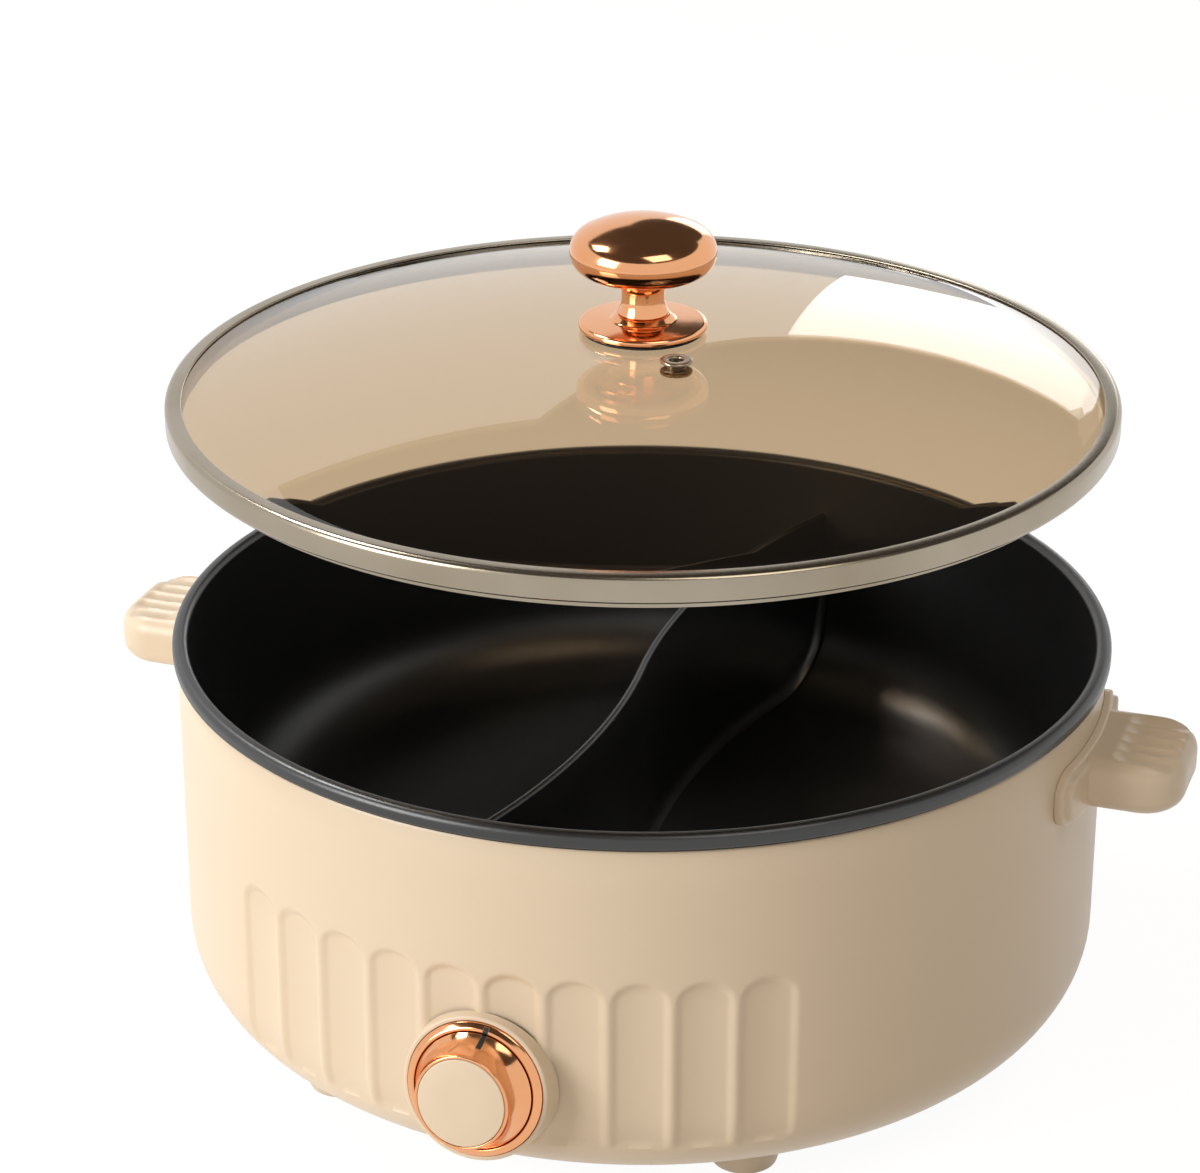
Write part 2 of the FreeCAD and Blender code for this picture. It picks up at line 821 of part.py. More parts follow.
def make_knob():
    """The fixed gold trim ring, and the flared knob with its cap and shaft, which turn."""
    wall = size("bezel_wall")
    trim = new_body("knob_trim_ring")
    outer = size("trim_radius")
    inner = outer - size("trim_width")
    rise = size("trim_height")
    turn_outline(trim, [
        (inner, -wall),
        (outer, -wall),
        (outer, 0),
        (inner + 0.6, rise, 4, True),
        (inner, rise),
    ])
    place_on_knob(trim)

    skirt = new_body("control_knob")
    gap = size("knob_gap")
    base_r = inner - gap
    face_z = size("knob_height_out")
    face_r = size("knob_face_radius")
    cap_r = size("cap_radius")
    deep = size("cap_depth")
    bore = size("shaft_radius") + 0.02
    turn_outline(skirt, [
        (bore, gap - wall),
        (base_r, gap - wall),
        (base_r, rise),
        (size("knob_waist") , face_z * 0.55, 12, False),
        (face_r, face_z, 26, False),
        (cap_r + 0.1, face_z),
        (cap_r + 0.1, face_z - deep),
        (bore, face_z - deep),
    ])
    place_on_knob(skirt)

    cap = new_body("knob_cap")
    proud = size("cap_proud")
    turn_outline(cap, [
        (0, face_z - deep),
        (cap_r, face_z - deep),
        (cap_r, face_z),
        (cap_r - proud, face_z + proud, proud, True),
        (0, face_z + proud),
    ])
    place_on_knob(cap)

    shaft = new_body("knob_shaft")
    turn_outline(shaft, box_steps(0, face_z - deep - size("shaft_length"),
                                  size("shaft_radius"), face_z - deep))
    place_on_knob(shaft)


def make_switch():
    """The rotary heat switch behind the shell, its threaded bush and its nut."""
    wall = size("bezel_wall")
    hole = size("shaft_radius") + 0.06
    bush = size("bush_radius")
    front = -wall - 0.2
    back = front - size("bush_length")
    body = new_body("rotary_switch")
    case = new_sketch(body, "case_outline", "XY_Plane", offset=back - size("switch_depth"))
    outline(case, rounded_steps(size("switch_width") / 2, size("switch_tall") / 2, size("case_round")))
    pad(body, case, size("switch_depth"), "case")
    neck = new_sketch(body, "bush_outline", "XY_Plane", offset=back)
    circle_in(neck, 0, 0, bush)
    pad(body, neck, size("bush_length"), "bush")
    DOC.recompute()
    bore = new_sketch(body, "bore_outline", "XY_Plane", offset=front)
    circle_in(bore, 0, 0, hole)
    deep = size("shaft_length") + size("cap_depth")
    pocket(body, bore, deep, "bore")
    place_on_knob(body)


def trim_round(body, label, inner, outer):
    """Take away what lies between two radii about the pot's axis, over the whole height."""
    sketch = new_sketch(body, f"{label}_outline", "XZ_Plane")
    outline(sketch, box_steps(inner, 0, outer, RIM_Z))
    groove = body.newObject("PartDesign::Groove", label)
    groove.Profile = sketch
    groove.ReferenceAxis = (sketch, ["V_Axis"])
    groove.Angle = 360
    DOC.recompute()


def make_handle_plate(side, turn):
    """The stepped pad that follows the shell, staked to it by two pegs."""
    body = new_body(f"{side}_handle_plate")
    middle = RIM_Z - size("plate_drop") - size("plate_height") / 2
    far = HANDLE_REACH + size("handle_round")
    step = size("plate_step")
    layers = (("base", 0, size("plate_out")), ("step", step, size("plate_out") + step))
    for label, inset, out in layers:
        face = new_sketch(body, f"{label}_face", "YZ_Plane")
        outline(face, rounded_steps(
            size("plate_half_length") - inset, size("plate_height") / 2 - inset,
            size("plate_round") - inset, middle))
        pad(body, face, SHELL_R + out + step, label)
        DOC.recompute()
        trim_round(body, f"{label}_front", SHELL_R + out, far)
    trim_round(body, "shell_curve", 0, SHELL_R + size("contact_gap") / 2)
    pegs = new_sketch(body, "peg_outline", "YZ_Plane", offset=SHELL_R - size("shell_wall"))
    for across in (-1, 1):
        circle_in(pegs, across * size("peg_half_pitch"), HANDLE_Z, size("peg_radius"))
    pad(body, pegs, size("shell_wall") + size("plate_out") / 2, "pegs")
    place(body, turn=turn)


def make_handle_grip(side, turn):
    """A lug with soft edges and a row of finger ribs on top."""
    body = new_body(f"{side}_handle_grip")
    half = size("handle_half_width")
    corner = size("handle_round")
    root = SHELL_R - size("shell_corner")
    plate_r = SHELL_R + size("plate_out") + size("plate_step")
    plan = new_sketch(body, "plan_outline", "XY_Plane", offset=HANDLE_Z - size("handle_thickness") / 2)
    outline(plan, [
        (root, -half),
        (HANDLE_REACH - corner, -half),
        (HANDLE_REACH, corner - half, corner, True),
        (HANDLE_REACH, half - corner),
        (HANDLE_REACH - corner, half, corner, True),
        (root, half),
    ])
    slab = pad(body, plan, size("handle_thickness"), "slab")
    DOC.recompute()
    round_edges(body, slab, size("handle_edge"), is_level)
    DOC.recompute()
    start = plate_r + size("handle_rib_start")
    rib = new_sketch(body, "rib_outline", "YZ_Plane", offset=start)
    radius = size("handle_rib_radius")
    top = HANDLE_Z + size("handle_thickness") / 2
    span = (size("handle_ribs") - 1) * size("handle_rib_pitch")
    circle_in(rib, -span / 2, top + radius - size("handle_rib_depth"), radius)
    length = HANDLE_REACH - size("handle_rib_end") - start
    cut = pocket(body, rib, length, "rib", reverse=True)
    ribs = body.newObject("PartDesign::LinearPattern", "ribs")
    ribs.Originals = [cut]
    ribs.Direction = (origin_part(body, "Y_Axis"), [""])
    bind(ribs, "Length", span)
    bind(ribs, "Occurrences", size("handle_ribs"))
    body.Tip = ribs
    DOC.recompute()
    trim_round(body, "plate_curve", 0, plate_r + size("contact_gap") / 2)
    place(body, turn=turn)


def make_handles():
    for side, turn in (("left", 180), ("right", 0)):
        make_handle_plate(side, turn)
        make_handle_grip(side, turn)


PIN_PLACES = {"live": (-1, -1), "earth": (0, 1), "neutral": (1, -1)}


def pin_steps(across, up, gap):
    """The section of one inlet pin, grown by a gap where it is a slot."""
    half_x = size("pin_thick") / 2 + gap
    half_z = size("pin_width") / 2 + gap
    x = across * size("pin_pitch")
    z = INLET_Z + up * size("pin_rise") / 2
    return box_steps(x - half_x, z - half_z, x + half_x, z + half_z)


def make_inlet():
    """The recessed power inlet at the back, with its three flat pins."""
    body = new_body("power_inlet")
    half_x = size("inlet_width") / 2
    half_z = size("inlet_tall") / 2
    round_r = size("inlet_round")
    middle = INLET_Z
    reach = INLET_REACH
    sketch = new_sketch(body, "case_outline", "XZ_Plane", offset=-reach)
    outline(sketch, rounded_steps(half_x, half_z, round_r, middle))
    pad(body, sketch, size("inlet_standoff") + size("inlet_inside"), "case")
    rim = size("inlet_flange")
    collar = new_sketch(body, "collar_outline", "XZ_Plane", offset=-reach)
    outline(collar, rounded_steps(half_x + rim, half_z + rim, round_r + rim, middle))
    pad(body, collar, reach - SHELL_R - size("seat_gap"), "collar")
    DOC.recompute()
    wall = size("inlet_wall")
    socket = new_sketch(body, "socket_outline", "XZ_Plane", offset=-reach)
    outline(socket, rounded_steps(half_x - wall, half_z - wall, round_r - 1, middle))
    pocket(body, socket, size("socket_depth"), "socket", reverse=True)
    slots = new_sketch(body, "pin_slots", "XZ_Plane", offset=-reach)
    for x, z in PIN_PLACES.values():
        outline(slots, pin_steps(x, z, size("contact_gap")))
    pocket(body, slots, size("inlet_standoff") + size("inlet_inside"), "pin_openings", reverse=True)

    pins = new_body("inlet_pins")
    tip = reach - size("socket_depth") + size("pin_out")
    for label, (x, z) in PIN_PLACES.items():
        blade = new_sketch(pins, f"{label}_outline", "XZ_Plane", offset=-tip)
        outline(blade, pin_steps(x, z, 0))
        pad(pins, blade, size("pin_out") + size("pin_tail"), label)


def make_lid():
    lift = size("lid_lift")
    seat = RIM_Z + lift
    outer = RIM_R - size("band_inset")
    wall = size("band_wall")
    high = seat + size("band_height")
    gap = size("band_lip_gap")
    lip_r = POT_R - gap
    band = new_body("lid_band")
    lip = size("band_lip")
    top_z = high - wall
    glass_t = size("glass_thickness")
    glass_low = top_z - glass_t - 0.1
    turn_outline(band, [
        (lip_r - wall, seat - lip),
        (lip_r, seat - lip),
        (lip_r, seat),
        (outer - 1.2, seat),
        (outer, seat + 1.2, 1.2, True),
        (outer, high - 1.2),
        (outer - 1.2, high, 1.2, True),
        (outer - size("band_flange"), high),
        (outer - size("band_flange"), top_z),
        (outer - wall, top_z),
        (outer - wall, seat + wall),
        (lip_r, seat + wall),
        (lip_r, glass_low),
        (lip_r - wall, glass_low),
    ])

    glass = new_body("lid_glass")
    edge_r = outer - wall - size("glass_clearance")
    flat = outer - size("band_flange") - 0.8
    low = glass_low + 0.05
    rise = size("glass_rise")
    curve = (flat * flat + rise * rise) / (2 * rise)
    hole = size("knob_hole_radius")
    drop = curve - root(curve * curve - hole * hole)
    turn_outline(glass, [
        (hole, low + rise + glass_t - drop),
        (flat, low + glass_t, curve, False),
        (edge_r, low + glass_t),
        (edge_r, low),
        (flat, low),
        (hole, low + rise - drop, curve, True),
    ])
    DOC.recompute()
    vent_x = size("vent_hole_place") * cosine(size("vent_hole_angle"))
    vent_y = size("vent_hole_place") * sine(size("vent_hole_angle"))
    vent = new_sketch(glass, "vent_outline", "XY_Plane")
    circle_in(vent, vent_x, vent_y, size("vent_hole_radius") + 0.1)
    pocket(glass, vent, high + rise + glass_t, "vent_opening", reverse=True)

    place_z = size("vent_hole_place")
    vent_drop = curve - root(curve * curve - place_z * place_z)
    under = low + rise - vent_drop - 0.6
    over = low + rise + glass_t - vent_drop + 0.6
    ring_r = size("vent_hole_radius") + size("vent_ring_width")
    grommet = new_body("steam_vent")
    turn_outline(grommet, [
        (size("vent_hole_radius") - 0.8, under - 0.8),
        (ring_r, under - 0.8),
        (ring_r, under),
        (size("vent_hole_radius"), under),
        (size("vent_hole_radius"), over),
        (ring_r, over),
        (ring_r - 0.4, over + 0.8),
        (size("vent_hole_radius") - 0.8, over + 0.8),
    ])
    place(grommet, vent_x, vent_y)

    glass_top = low + rise + glass_t
    gasket = new_body("lid_knob_gasket")
    gasket_top = glass_top + size("gasket_thickness") / 2
    flange_r = size("flange_radius")
    gasket_r = flange_r - 1.2
    gasket_drop = curve - root(curve * curve - gasket_r * gasket_r)
    turn_outline(gasket, [
        (size("lid_screw_radius") + 0.4, glass_top - drop + 0.05),
        (gasket_r, glass_top - gasket_drop + 0.05, curve, False),
        (gasket_r, gasket_top),
        (size("lid_screw_radius") + 0.4, gasket_top),
    ])

    flange = new_body("lid_knob_flange")
    edge = size("flange_edge")
    neck = size("neck_radius")
    neck_low = gasket_top + edge
    turn_outline(flange, [
        (size("lid_screw_radius") + 0.2, gasket_top),
        (flange_r - 0.8, gasket_top),
        (flange_r, gasket_top + 0.8, 0.8, True),
        (flange_r, gasket_top + edge - 1.4),
        (flange_r - 1.4, gasket_top + edge, 1.4, True),
        (neck + 3.2, neck_low + 0.6),
        (neck + 1.8, neck_low + 2.4, 2.2, False),
        (size("lid_screw_radius") + 0.2, neck_low + 2.4),
    ])

    grip = new_body("lid_knob")
    grip_low = gasket_top + size("neck_height") + edge
    grip_r = size("grip_radius")
    grip_e = size("grip_edge")
    grip_top = grip_low + size("grip_height")
    shoulder_r = grip_r - size("grip_edge") / 2
    shoulder_z = grip_low + grip_e * 1.866
    crown_rise = grip_top - shoulder_z
    crown = (shoulder_r * shoulder_r + crown_rise * crown_rise) / (2 * crown_rise)
    screw_reach = grip_low - 3
    turn_outline(grip, [
        (0, screw_reach),
        (size("lid_screw_radius"), screw_reach),
        (size("lid_screw_radius"), neck_low + 2.4),
        (neck + 1.4, neck_low + 2.4),
        (neck, neck_low + 6, 8, False),
        (neck, grip_low - 4),
        (neck + 5, grip_low, 6, False),
        (grip_r - grip_e, grip_low),
        (grip_r, grip_low + grip_e, grip_e, True),
        (shoulder_r, shoulder_z, grip_e, True),
        (0, grip_top, crown, True),
    ])

    glass_under = low + rise - drop
    washer = new_body("lid_washer")
    washer_r = size("lid_washer_radius")
    thick = size("band_wall") + 0.4
    washer_top = low + rise - washer_r * washer_r / (2 * curve) - 0.1
    turn_outline(washer, [
        (size("lid_screw_radius") + 0.2, washer_top - thick),
        (washer_r, washer_top - thick),
        (washer_r, washer_top),
        (size("lid_screw_radius") + 0.2, washer_top),
    ])
    screw = new_body("lid_screw")
    head_low = washer_top - thick - 2.6
    turn_outline(screw, [
        (0, head_low),
        (size("lid_screw_radius") + 1.2, head_low),
        (size("lid_screw_radius") + 2.6, head_low + 2.6, 3.4, True),
        (size("lid_screw_radius"), head_low + 2.6),
        (size("lid_screw_radius"), screw_reach - 0.5),
        (0, screw_reach - 0.5),
    ])


fill_order = [make_inner_pot, make_divider, make_outer_shell, make_rim_lining, make_base_cover,
              make_feet, make_cover_screws, make_heater_stack, make_heat_controls,
              make_knob_bezel, make_knob, make_switch, make_handles, make_inlet, make_lid]


def report_faults():
    faults = []
    for item in DOC.Objects:
        if "Invalid" in item.State or "Error" in item.State:
            faults.append(f"{item.Label}: {item.State}")
    for piece in PIECES:
        if piece.Shape.isNull() or not piece.Shape.isValid():
            faults.append(f"{piece.Label}: shape")
    return faults


def export_pieces():
    os.makedirs("parts", exist_ok=True)
    for piece in PIECES:
        piece.Shape.exportStep(f"parts/{piece.Label}.step")
        box = piece.Shape.BoundBox
        print(piece.Label, len(piece.Shape.Solids), round(piece.Shape.Volume),
              [round(n, 1) for n in (box.XMin, box.XMax, box.YMin, box.YMax, box.ZMin, box.ZMax)])


for make in fill_order:
    make()
DOC.recompute()
faults = report_faults()
if faults:
    raise RuntimeError("; ".join(faults))
export_pieces()
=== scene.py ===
import json
import math

import bmesh
import bpy
from mathutils import Matrix, Vector

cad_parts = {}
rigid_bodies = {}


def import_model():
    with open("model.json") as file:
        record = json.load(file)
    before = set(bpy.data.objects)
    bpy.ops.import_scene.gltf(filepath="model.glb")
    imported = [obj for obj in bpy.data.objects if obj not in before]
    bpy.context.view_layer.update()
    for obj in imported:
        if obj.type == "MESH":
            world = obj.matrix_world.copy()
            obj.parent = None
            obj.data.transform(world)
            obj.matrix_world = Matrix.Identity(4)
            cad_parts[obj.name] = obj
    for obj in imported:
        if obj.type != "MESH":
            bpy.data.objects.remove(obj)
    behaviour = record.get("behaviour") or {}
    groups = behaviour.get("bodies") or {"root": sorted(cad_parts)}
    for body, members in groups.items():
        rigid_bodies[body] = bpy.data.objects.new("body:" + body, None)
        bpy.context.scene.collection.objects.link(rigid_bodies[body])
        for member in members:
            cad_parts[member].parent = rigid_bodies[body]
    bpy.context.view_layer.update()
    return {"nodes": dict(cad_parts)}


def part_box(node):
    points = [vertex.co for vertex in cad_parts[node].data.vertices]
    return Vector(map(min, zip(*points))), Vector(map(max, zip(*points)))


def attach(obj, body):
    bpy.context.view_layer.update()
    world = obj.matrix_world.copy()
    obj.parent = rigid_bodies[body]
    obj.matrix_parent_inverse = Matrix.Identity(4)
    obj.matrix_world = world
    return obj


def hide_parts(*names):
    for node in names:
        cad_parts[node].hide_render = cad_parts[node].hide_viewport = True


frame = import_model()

mm = 0.001
loPot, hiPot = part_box("inner_pot")
loShell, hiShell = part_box("outer_shell")
loBand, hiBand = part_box("lid_band")
rimZ = hiPot[2]
rimR = (hiPot[0] - loPot[0]) / 2
shellR = (hiShell[0] - loShell[0]) / 2
print("frame loaded")


# Node maths: a value wraps a socket, so plain expressions add the nodes.
class Value:
    def __init__(self, owner, socket):
        self.owner = owner
        self.socket = socket

    def __add__(self, other): return self.owner.maths("ADD", self, other)
    def __radd__(self, other): return self.owner.maths("ADD", other, self)
    def __sub__(self, other): return self.owner.maths("SUBTRACT", self, other)
    def __rsub__(self, other): return self.owner.maths("SUBTRACT", other, self)
    def __mul__(self, other): return self.owner.maths("MULTIPLY", self, other)
    def __rmul__(self, other): return self.owner.maths("MULTIPLY", other, self)
    def __truediv__(self, other): return self.owner.maths("DIVIDE", self, other)
    def __pow__(self, other): return self.owner.maths("POWER", self, other)


class Tree:
    def __init__(self, tree):
        self.tree = tree

    def link(self, value, socket):
        self.tree.links.new(value.socket, socket)

    def node(self, kind, settings=None, inputs=None, out=0):
        item = self.tree.nodes.new(kind)
        for key, value in (settings or {}).items():
            setattr(item, key, value)
        for key, value in (inputs or {}).items():
            if isinstance(value, Value):
                self.link(value, item.inputs[key])
            else:
                item.inputs[key].default_value = value
        return Value(self, item.outputs[out])

    def outputs(self, kind, names, inputs=None):
        item = self.node(kind, None, inputs).socket.node
        return [Value(self, item.outputs[name]) for name in names]

    def maths(self, operation, a, b=0.0):
        return self.node("ShaderNodeMath", {"operation": operation}, {0: a, 1: b})

    def smooth(self, value, low, high):
        return self.node("ShaderNodeMapRange", {"interpolation_type": "SMOOTHSTEP"},
                         {"Value": value, "From Min": low, "From Max": high})

    def split(self, vector):
        return self.outputs("ShaderNodeSeparateXYZ", "XYZ", {0: vector})

    def mix(self, factor, a, b):
        return self.node("ShaderNodeMixShader", None, {0: factor, 1: a, 2: b})

    def rays(self, *kinds):
        names = [f"Is {kind} Ray" for kind in kinds]
        seen, *others = self.outputs("ShaderNodeLightPath", names)
        for other in others:
            seen = self.maths("MAXIMUM", seen, other)
        return seen


class Shader(Tree):
    def __init__(self, name):
        self.material = bpy.data.materials.new(name)
        self.material.use_nodes = True
        super().__init__(self.material.node_tree)
        self.tree.nodes.clear()
        self.output = self.tree.nodes.new("ShaderNodeOutputMaterial")

    def place(self, scale=(1, 1, 1)):
        spot = self.node("ShaderNodeTexCoord", out="Object")
        return self.node("ShaderNodeMapping", None, {"Vector": spot, "Scale": scale})

    def noise(self, where, scale, detail=3.0, rough=0.5):
        return self.node("ShaderNodeTexNoise", None,
                         {"Vector": where, "Scale": scale, "Detail": detail, "Roughness": rough})

    def blend(self, factor, a, b):
        return self.node("ShaderNodeMix", {"data_type": "RGBA"}, {0: factor, 6: a, 7: b}, 2)

    def ramp(self, factor, low, high):
        shade = self.node("ShaderNodeValToRGB", None, {"Fac": factor})
        for stop, place in zip(shade.socket.node.color_ramp.elements, (low, high)):
            stop.position = place
        return shade

    def vary(self, middle, *parts):
        for noise, share in parts:
            middle = middle + (noise - 0.5) * share
        return middle

    def bump(self, height, strength, distance):
        return self.node("ShaderNodeBump", None,
                         {"Height": height, "Strength": strength, "Distance": distance})

    def close(self, surface):
        self.link(surface, self.output.inputs["Surface"])
        return self.material

    def finish(self, **sockets):
        inputs = {key.replace("_", " "): value for key, value in sockets.items()}
        return self.close(self.node("ShaderNodeBsdfPrincipled", None, inputs))


def fromScreen(red, green, blue):
    def straight(value):
        value /= 255
        return value / 12.92 if value <= 0.04045 else ((value + 0.055) / 1.055) ** 2.4
    return (straight(red), straight(green), straight(blue), 1)


creamFinish = {"colour": fromScreen(222, 203, 178), "shade": fromScreen(216, 196, 169),
               "roughness": 0.38, "cloudScale": 9.0, "cloudRough": 0.08, "grainScale": 1400.0,
               "grainRough": 0.06, "grain": 0.05, "grainDeep": 0.0002, "coat": 0.12,
               "coatRough": 0.3}


def creamPlastic():
    finish = creamFinish
    look = Shader("creamPlastic")
    where = look.place()
    cloud = look.noise(where, finish["cloudScale"])
    grain = look.noise(where, finish["grainScale"], 2.0)
    rough = look.vary(finish["roughness"], (cloud, finish["cloudRough"]),
                      (grain, finish["grainRough"]))
    return look.finish(Base_Color=look.blend(cloud, finish["colour"], finish["shade"]),
                       Roughness=rough, Coat_Weight=finish["coat"],
                       Coat_Roughness=finish["coatRough"],
                       Normal=look.bump(grain, finish["grain"], finish["grainDeep"]))


panFinish = {"colour": fromScreen(20, 20, 21), "fleck": fromScreen(40, 40, 41),
             "fleckShare": 0.35, "fleckFrom": 0.62, "fleckTo": 0.74, "roughness": 0.35,
             "cloudScale": 14.0, "cloudRough": 0.1, "grainScale": 900.0, "grainRough": 0.16,
             "grain": 0.12, "grainDeep": 0.0003, "shine": 0.8}


def nonStick():
    finish = panFinish
    look = Shader("nonStickCoating")
    where = look.place()
    cloud = look.noise(where, finish["cloudScale"])
    grain = look.noise(where, finish["grainScale"], 3.0, 0.6)
    fleck = look.ramp(grain, finish["fleckFrom"], finish["fleckTo"]) * finish["fleckShare"]
    rough = look.vary(finish["roughness"], (cloud, finish["cloudRough"]),
                      (grain, finish["grainRough"]))
    return look.finish(Base_Color=look.blend(fleck, finish["colour"], finish["fleck"]),
                       Roughness=rough, Specular_IOR_Level=finish["shine"],
                       Normal=look.bump(grain, finish["grain"], finish["grainDeep"]))


metal = {"smearScale": 22.0, "smearRough": 0.05, "streakRough": 0.12, "streakDeep": 0.0002,
         "paint": fromScreen(24, 22, 22), "paintRough": 0.35}


def metalFinish(name, colour, shade, roughness, brush, scale=(1, 1, 1), bump=0.03, marks=None):
    look = Shader(name)
    streak = look.noise(look.place(scale), brush, 4.0, 0.6)
    smear = look.noise(look.place(), metal["smearScale"])
    tint = look.blend(smear, colour, shade)
    rough = look.vary(roughness, (smear, metal["smearRough"]), (streak, metal["streakRough"]))
    shine = 1.0
    if marks:
        mark = marks(look)
        tint = look.blend(mark, tint, metal["paint"])
        rough = rough + mark * metal["paintRough"]
        shine = 1.0 - mark
    return look.finish(Base_Color=tint, Metallic=shine, Roughness=rough,
                       Normal=look.bump(streak, bump, metal["streakDeep"]))


def roseGold(name, marks=None):
    return metalFinish(name, fromScreen(240, 178, 132), fromScreen(228, 158, 110),
                       0.12, 300.0, bump=0.01, marks=marks)


moulding = {"shade": 0.86, "cloudScale": 12.0, "grainScale": 1200.0, "grainRough": 0.2,
            "grain": 0.15, "grainDeep": 0.0003}


def plainPlastic(name, colour, roughness):
    look = Shader(name)
    where = look.place()
    grain = look.noise(where, moulding["grainScale"], 2.0)
    cloud = look.noise(where, moulding["cloudScale"])
    shade = (*(part * moulding["shade"] for part in colour[:3]), 1)
    return look.finish(Base_Color=look.blend(cloud, colour, shade),
                       Roughness=look.vary(roughness, (grain, moulding["grainRough"])),
                       Normal=look.bump(grain, moulding["grain"], moulding["grainDeep"]))


glassFinish = {"tint": fromScreen(198, 173, 140), "ior": 1.45, "roughness": 0.01,
               "hazeScale": 30.0, "hazeRough": 0.015}


def lidGlass():
    look = Shader("toughenedGlass")
    haze = look.noise(look.place(), glassFinish["hazeScale"])
    return look.finish(Base_Color=glassFinish["tint"],
                       Roughness=glassFinish["roughness"] + haze * glassFinish["hazeRough"],
                       IOR=glassFinish["ior"], Transmission_Weight=1.0)


looks = {
    "cream": creamPlastic(),
    "pan": nonStick(),
    "gold": roseGold("roseGoldPlating"),
    "steel": metalFinish("brushedBand", fromScreen(176, 166, 150), fromScreen(142, 130, 110),
                         0.22, 700.0, (1, 1, 30)),
    "glass": lidGlass(),
    "black": plainPlastic("blackMoulding", fromScreen(30, 30, 31), 0.5),
    "rubber": plainPlastic("footRubber", fromScreen(52, 49, 46), 0.75),
    "brass": metalFinish("brassPins", fromScreen(206, 176, 112), fromScreen(190, 160, 98),
                         0.3, 500.0),
    "zinc": metalFinish("zincPlate", fromScreen(176, 176, 178), fromScreen(158, 159, 162),
                        0.38, 420.0),
}
print("finishes made")


# Profiles are lists of (radius, height) in millimetres; a third number rounds that corner.
def spaced(first, last, count):
    return [first + (last - first) * k / count for k in range(count + 1)]


def turns(count):
    return spaced(0, 2 * math.pi, count)[:-1]


def arc(x, y, radius, start, end, steps):
    return [(x + radius * math.cos(math.radians(a)), y + radius * math.sin(math.radians(a)))
            for a in spaced(start, end, steps)]


def roundCorner(before, corner, after, radius, steps):
    back, ahead = Vector(before) - corner, Vector(after) - corner
    half = back.angle(ahead) / 2
    reach = min(radius / math.tan(half), back.length * 0.49, ahead.length * 0.49)
    radius = reach * math.tan(half)
    back, ahead = back.normalized(), ahead.normalized()
    centre = corner + (back + ahead).normalized() * (radius / math.sin(half))
    start = corner + back * reach - centre
    swing = -start.angle_signed(corner + ahead * reach - centre)
    points = []
    for a in spaced(0, swing, steps):
        c, s = math.cos(a), math.sin(a)
        points.append(centre + Vector((start.x * c - start.y * s, start.x * s + start.y * c)))
    return points


def roundedLine(points, closed, steps):
    line = []
    count = len(points)
    for index, point in enumerate(points):
        corner = Vector(point[:2])
        atEnd = not closed and index in (0, count - 1)
        if len(point) < 3 or atEnd:
            line.append(corner)
            continue
        after = points[(index + 1) % count][:2]
        line += roundCorner(points[index - 1][:2], corner, after, point[2], steps)
    return line


def bridge(mesh, rings, closed=True):
    # Quads between neighbouring rings, or triangles where a ring is one point on the axis.
    for low, high in zip(rings, rings[1:]):
        count = max(len(low), len(high))
        for k in range(count if closed else count - 1):
            n = (k + 1) % count
            corners = (low[k % len(low)], low[n % len(low)],
                       high[n % len(high)], high[k % len(high)])
            mesh.faces.new(list(dict.fromkeys(corners)))


def meshPiece(name, mesh):
    data = bpy.data.meshes.new(name)
    mesh.to_mesh(data)
    mesh.free()
    for face in data.polygons:
        face.use_smooth = True
    piece = bpy.data.objects.new(name, data)
    bpy.context.scene.collection.objects.link(piece)
    return piece


def solidPiece(name, mesh):
    bmesh.ops.recalc_face_normals(mesh, faces=mesh.faces)
    return meshPiece(name, mesh)


def lathe(name, points, angles, closed=True, steps=6):
    mesh = bmesh.new()
    rings = []
    for spot in roundedLine(points, closed, steps):
        around = angles[:1] if abs(spot.x) < 1e-9 else angles
        rings.append([mesh.verts.new((spot.x * mm * math.cos(a), spot.x * mm * math.sin(a),
                                      spot.y * mm)) for a in around])
    bridge(mesh, rings + rings[:1] if closed else rings)
    return solidPiece(name, mesh)


def softenEdges(piece, angle):
    sharp = math.radians(angle)
    mesh = bmesh.new()
    mesh.from_mesh(piece.data)
    for edge in mesh.edges:
        edge.smooth = len(edge.link_faces) != 2 or edge.calc_face_angle(0) < sharp
    mesh.to_mesh(piece.data)
    mesh.free()


def dress(piece, look, body, slot, *nodes):
    piece.data.materials.clear()
    piece.data.materials.append(looks[look])
    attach(piece, body)
    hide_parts(*nodes)


def moveMesh(piece, matrix):
    piece.data.transform(matrix)
    piece.data.update()


# Geometry Nodes: a tree moves the points of a mesh, and its sizes are its inputs.
class Nodes(Tree):
    def __init__(self, name, sizes):
        super().__init__(bpy.data.node_groups.new(name, "GeometryNodeTree"))
        sockets = self.tree.interface
        for way in ("INPUT", "OUTPUT"):
            sockets.new_socket("Geometry", in_out=way, socket_type="NodeSocketGeometry")
        self.sizes = sizes
        self.ids = {}
        for key, value in sizes.items():
            socket = sockets.new_socket(key, in_out="INPUT", socket_type="NodeSocketFloat")
            socket.default_value = value
            self.ids[key] = socket.identifier
        self.start = self.tree.nodes.new("NodeGroupInput")
        self.end = self.tree.nodes.new("NodeGroupOutput")

    def size(self, key):
        return Value(self, self.start.outputs[key])

    def position(self):
        return self.split(self.node("GeometryNodeInputPosition"))

    def close(self, x, y, z, look):
        spot = self.node("ShaderNodeCombineXYZ", None, {0: x, 1: y, 2: z})
        moved = self.node("GeometryNodeSetPosition", None,
                          {"Geometry": self.size("Geometry"), "Position": spot})
        real = self.node("GeometryNodeRealizeInstances", None, {"Geometry": moved})
        done = self.node("GeometryNodeSetMaterial", None,
                         {"Geometry": real, "Material": looks[look]})
        self.link(done, self.end.inputs[0])


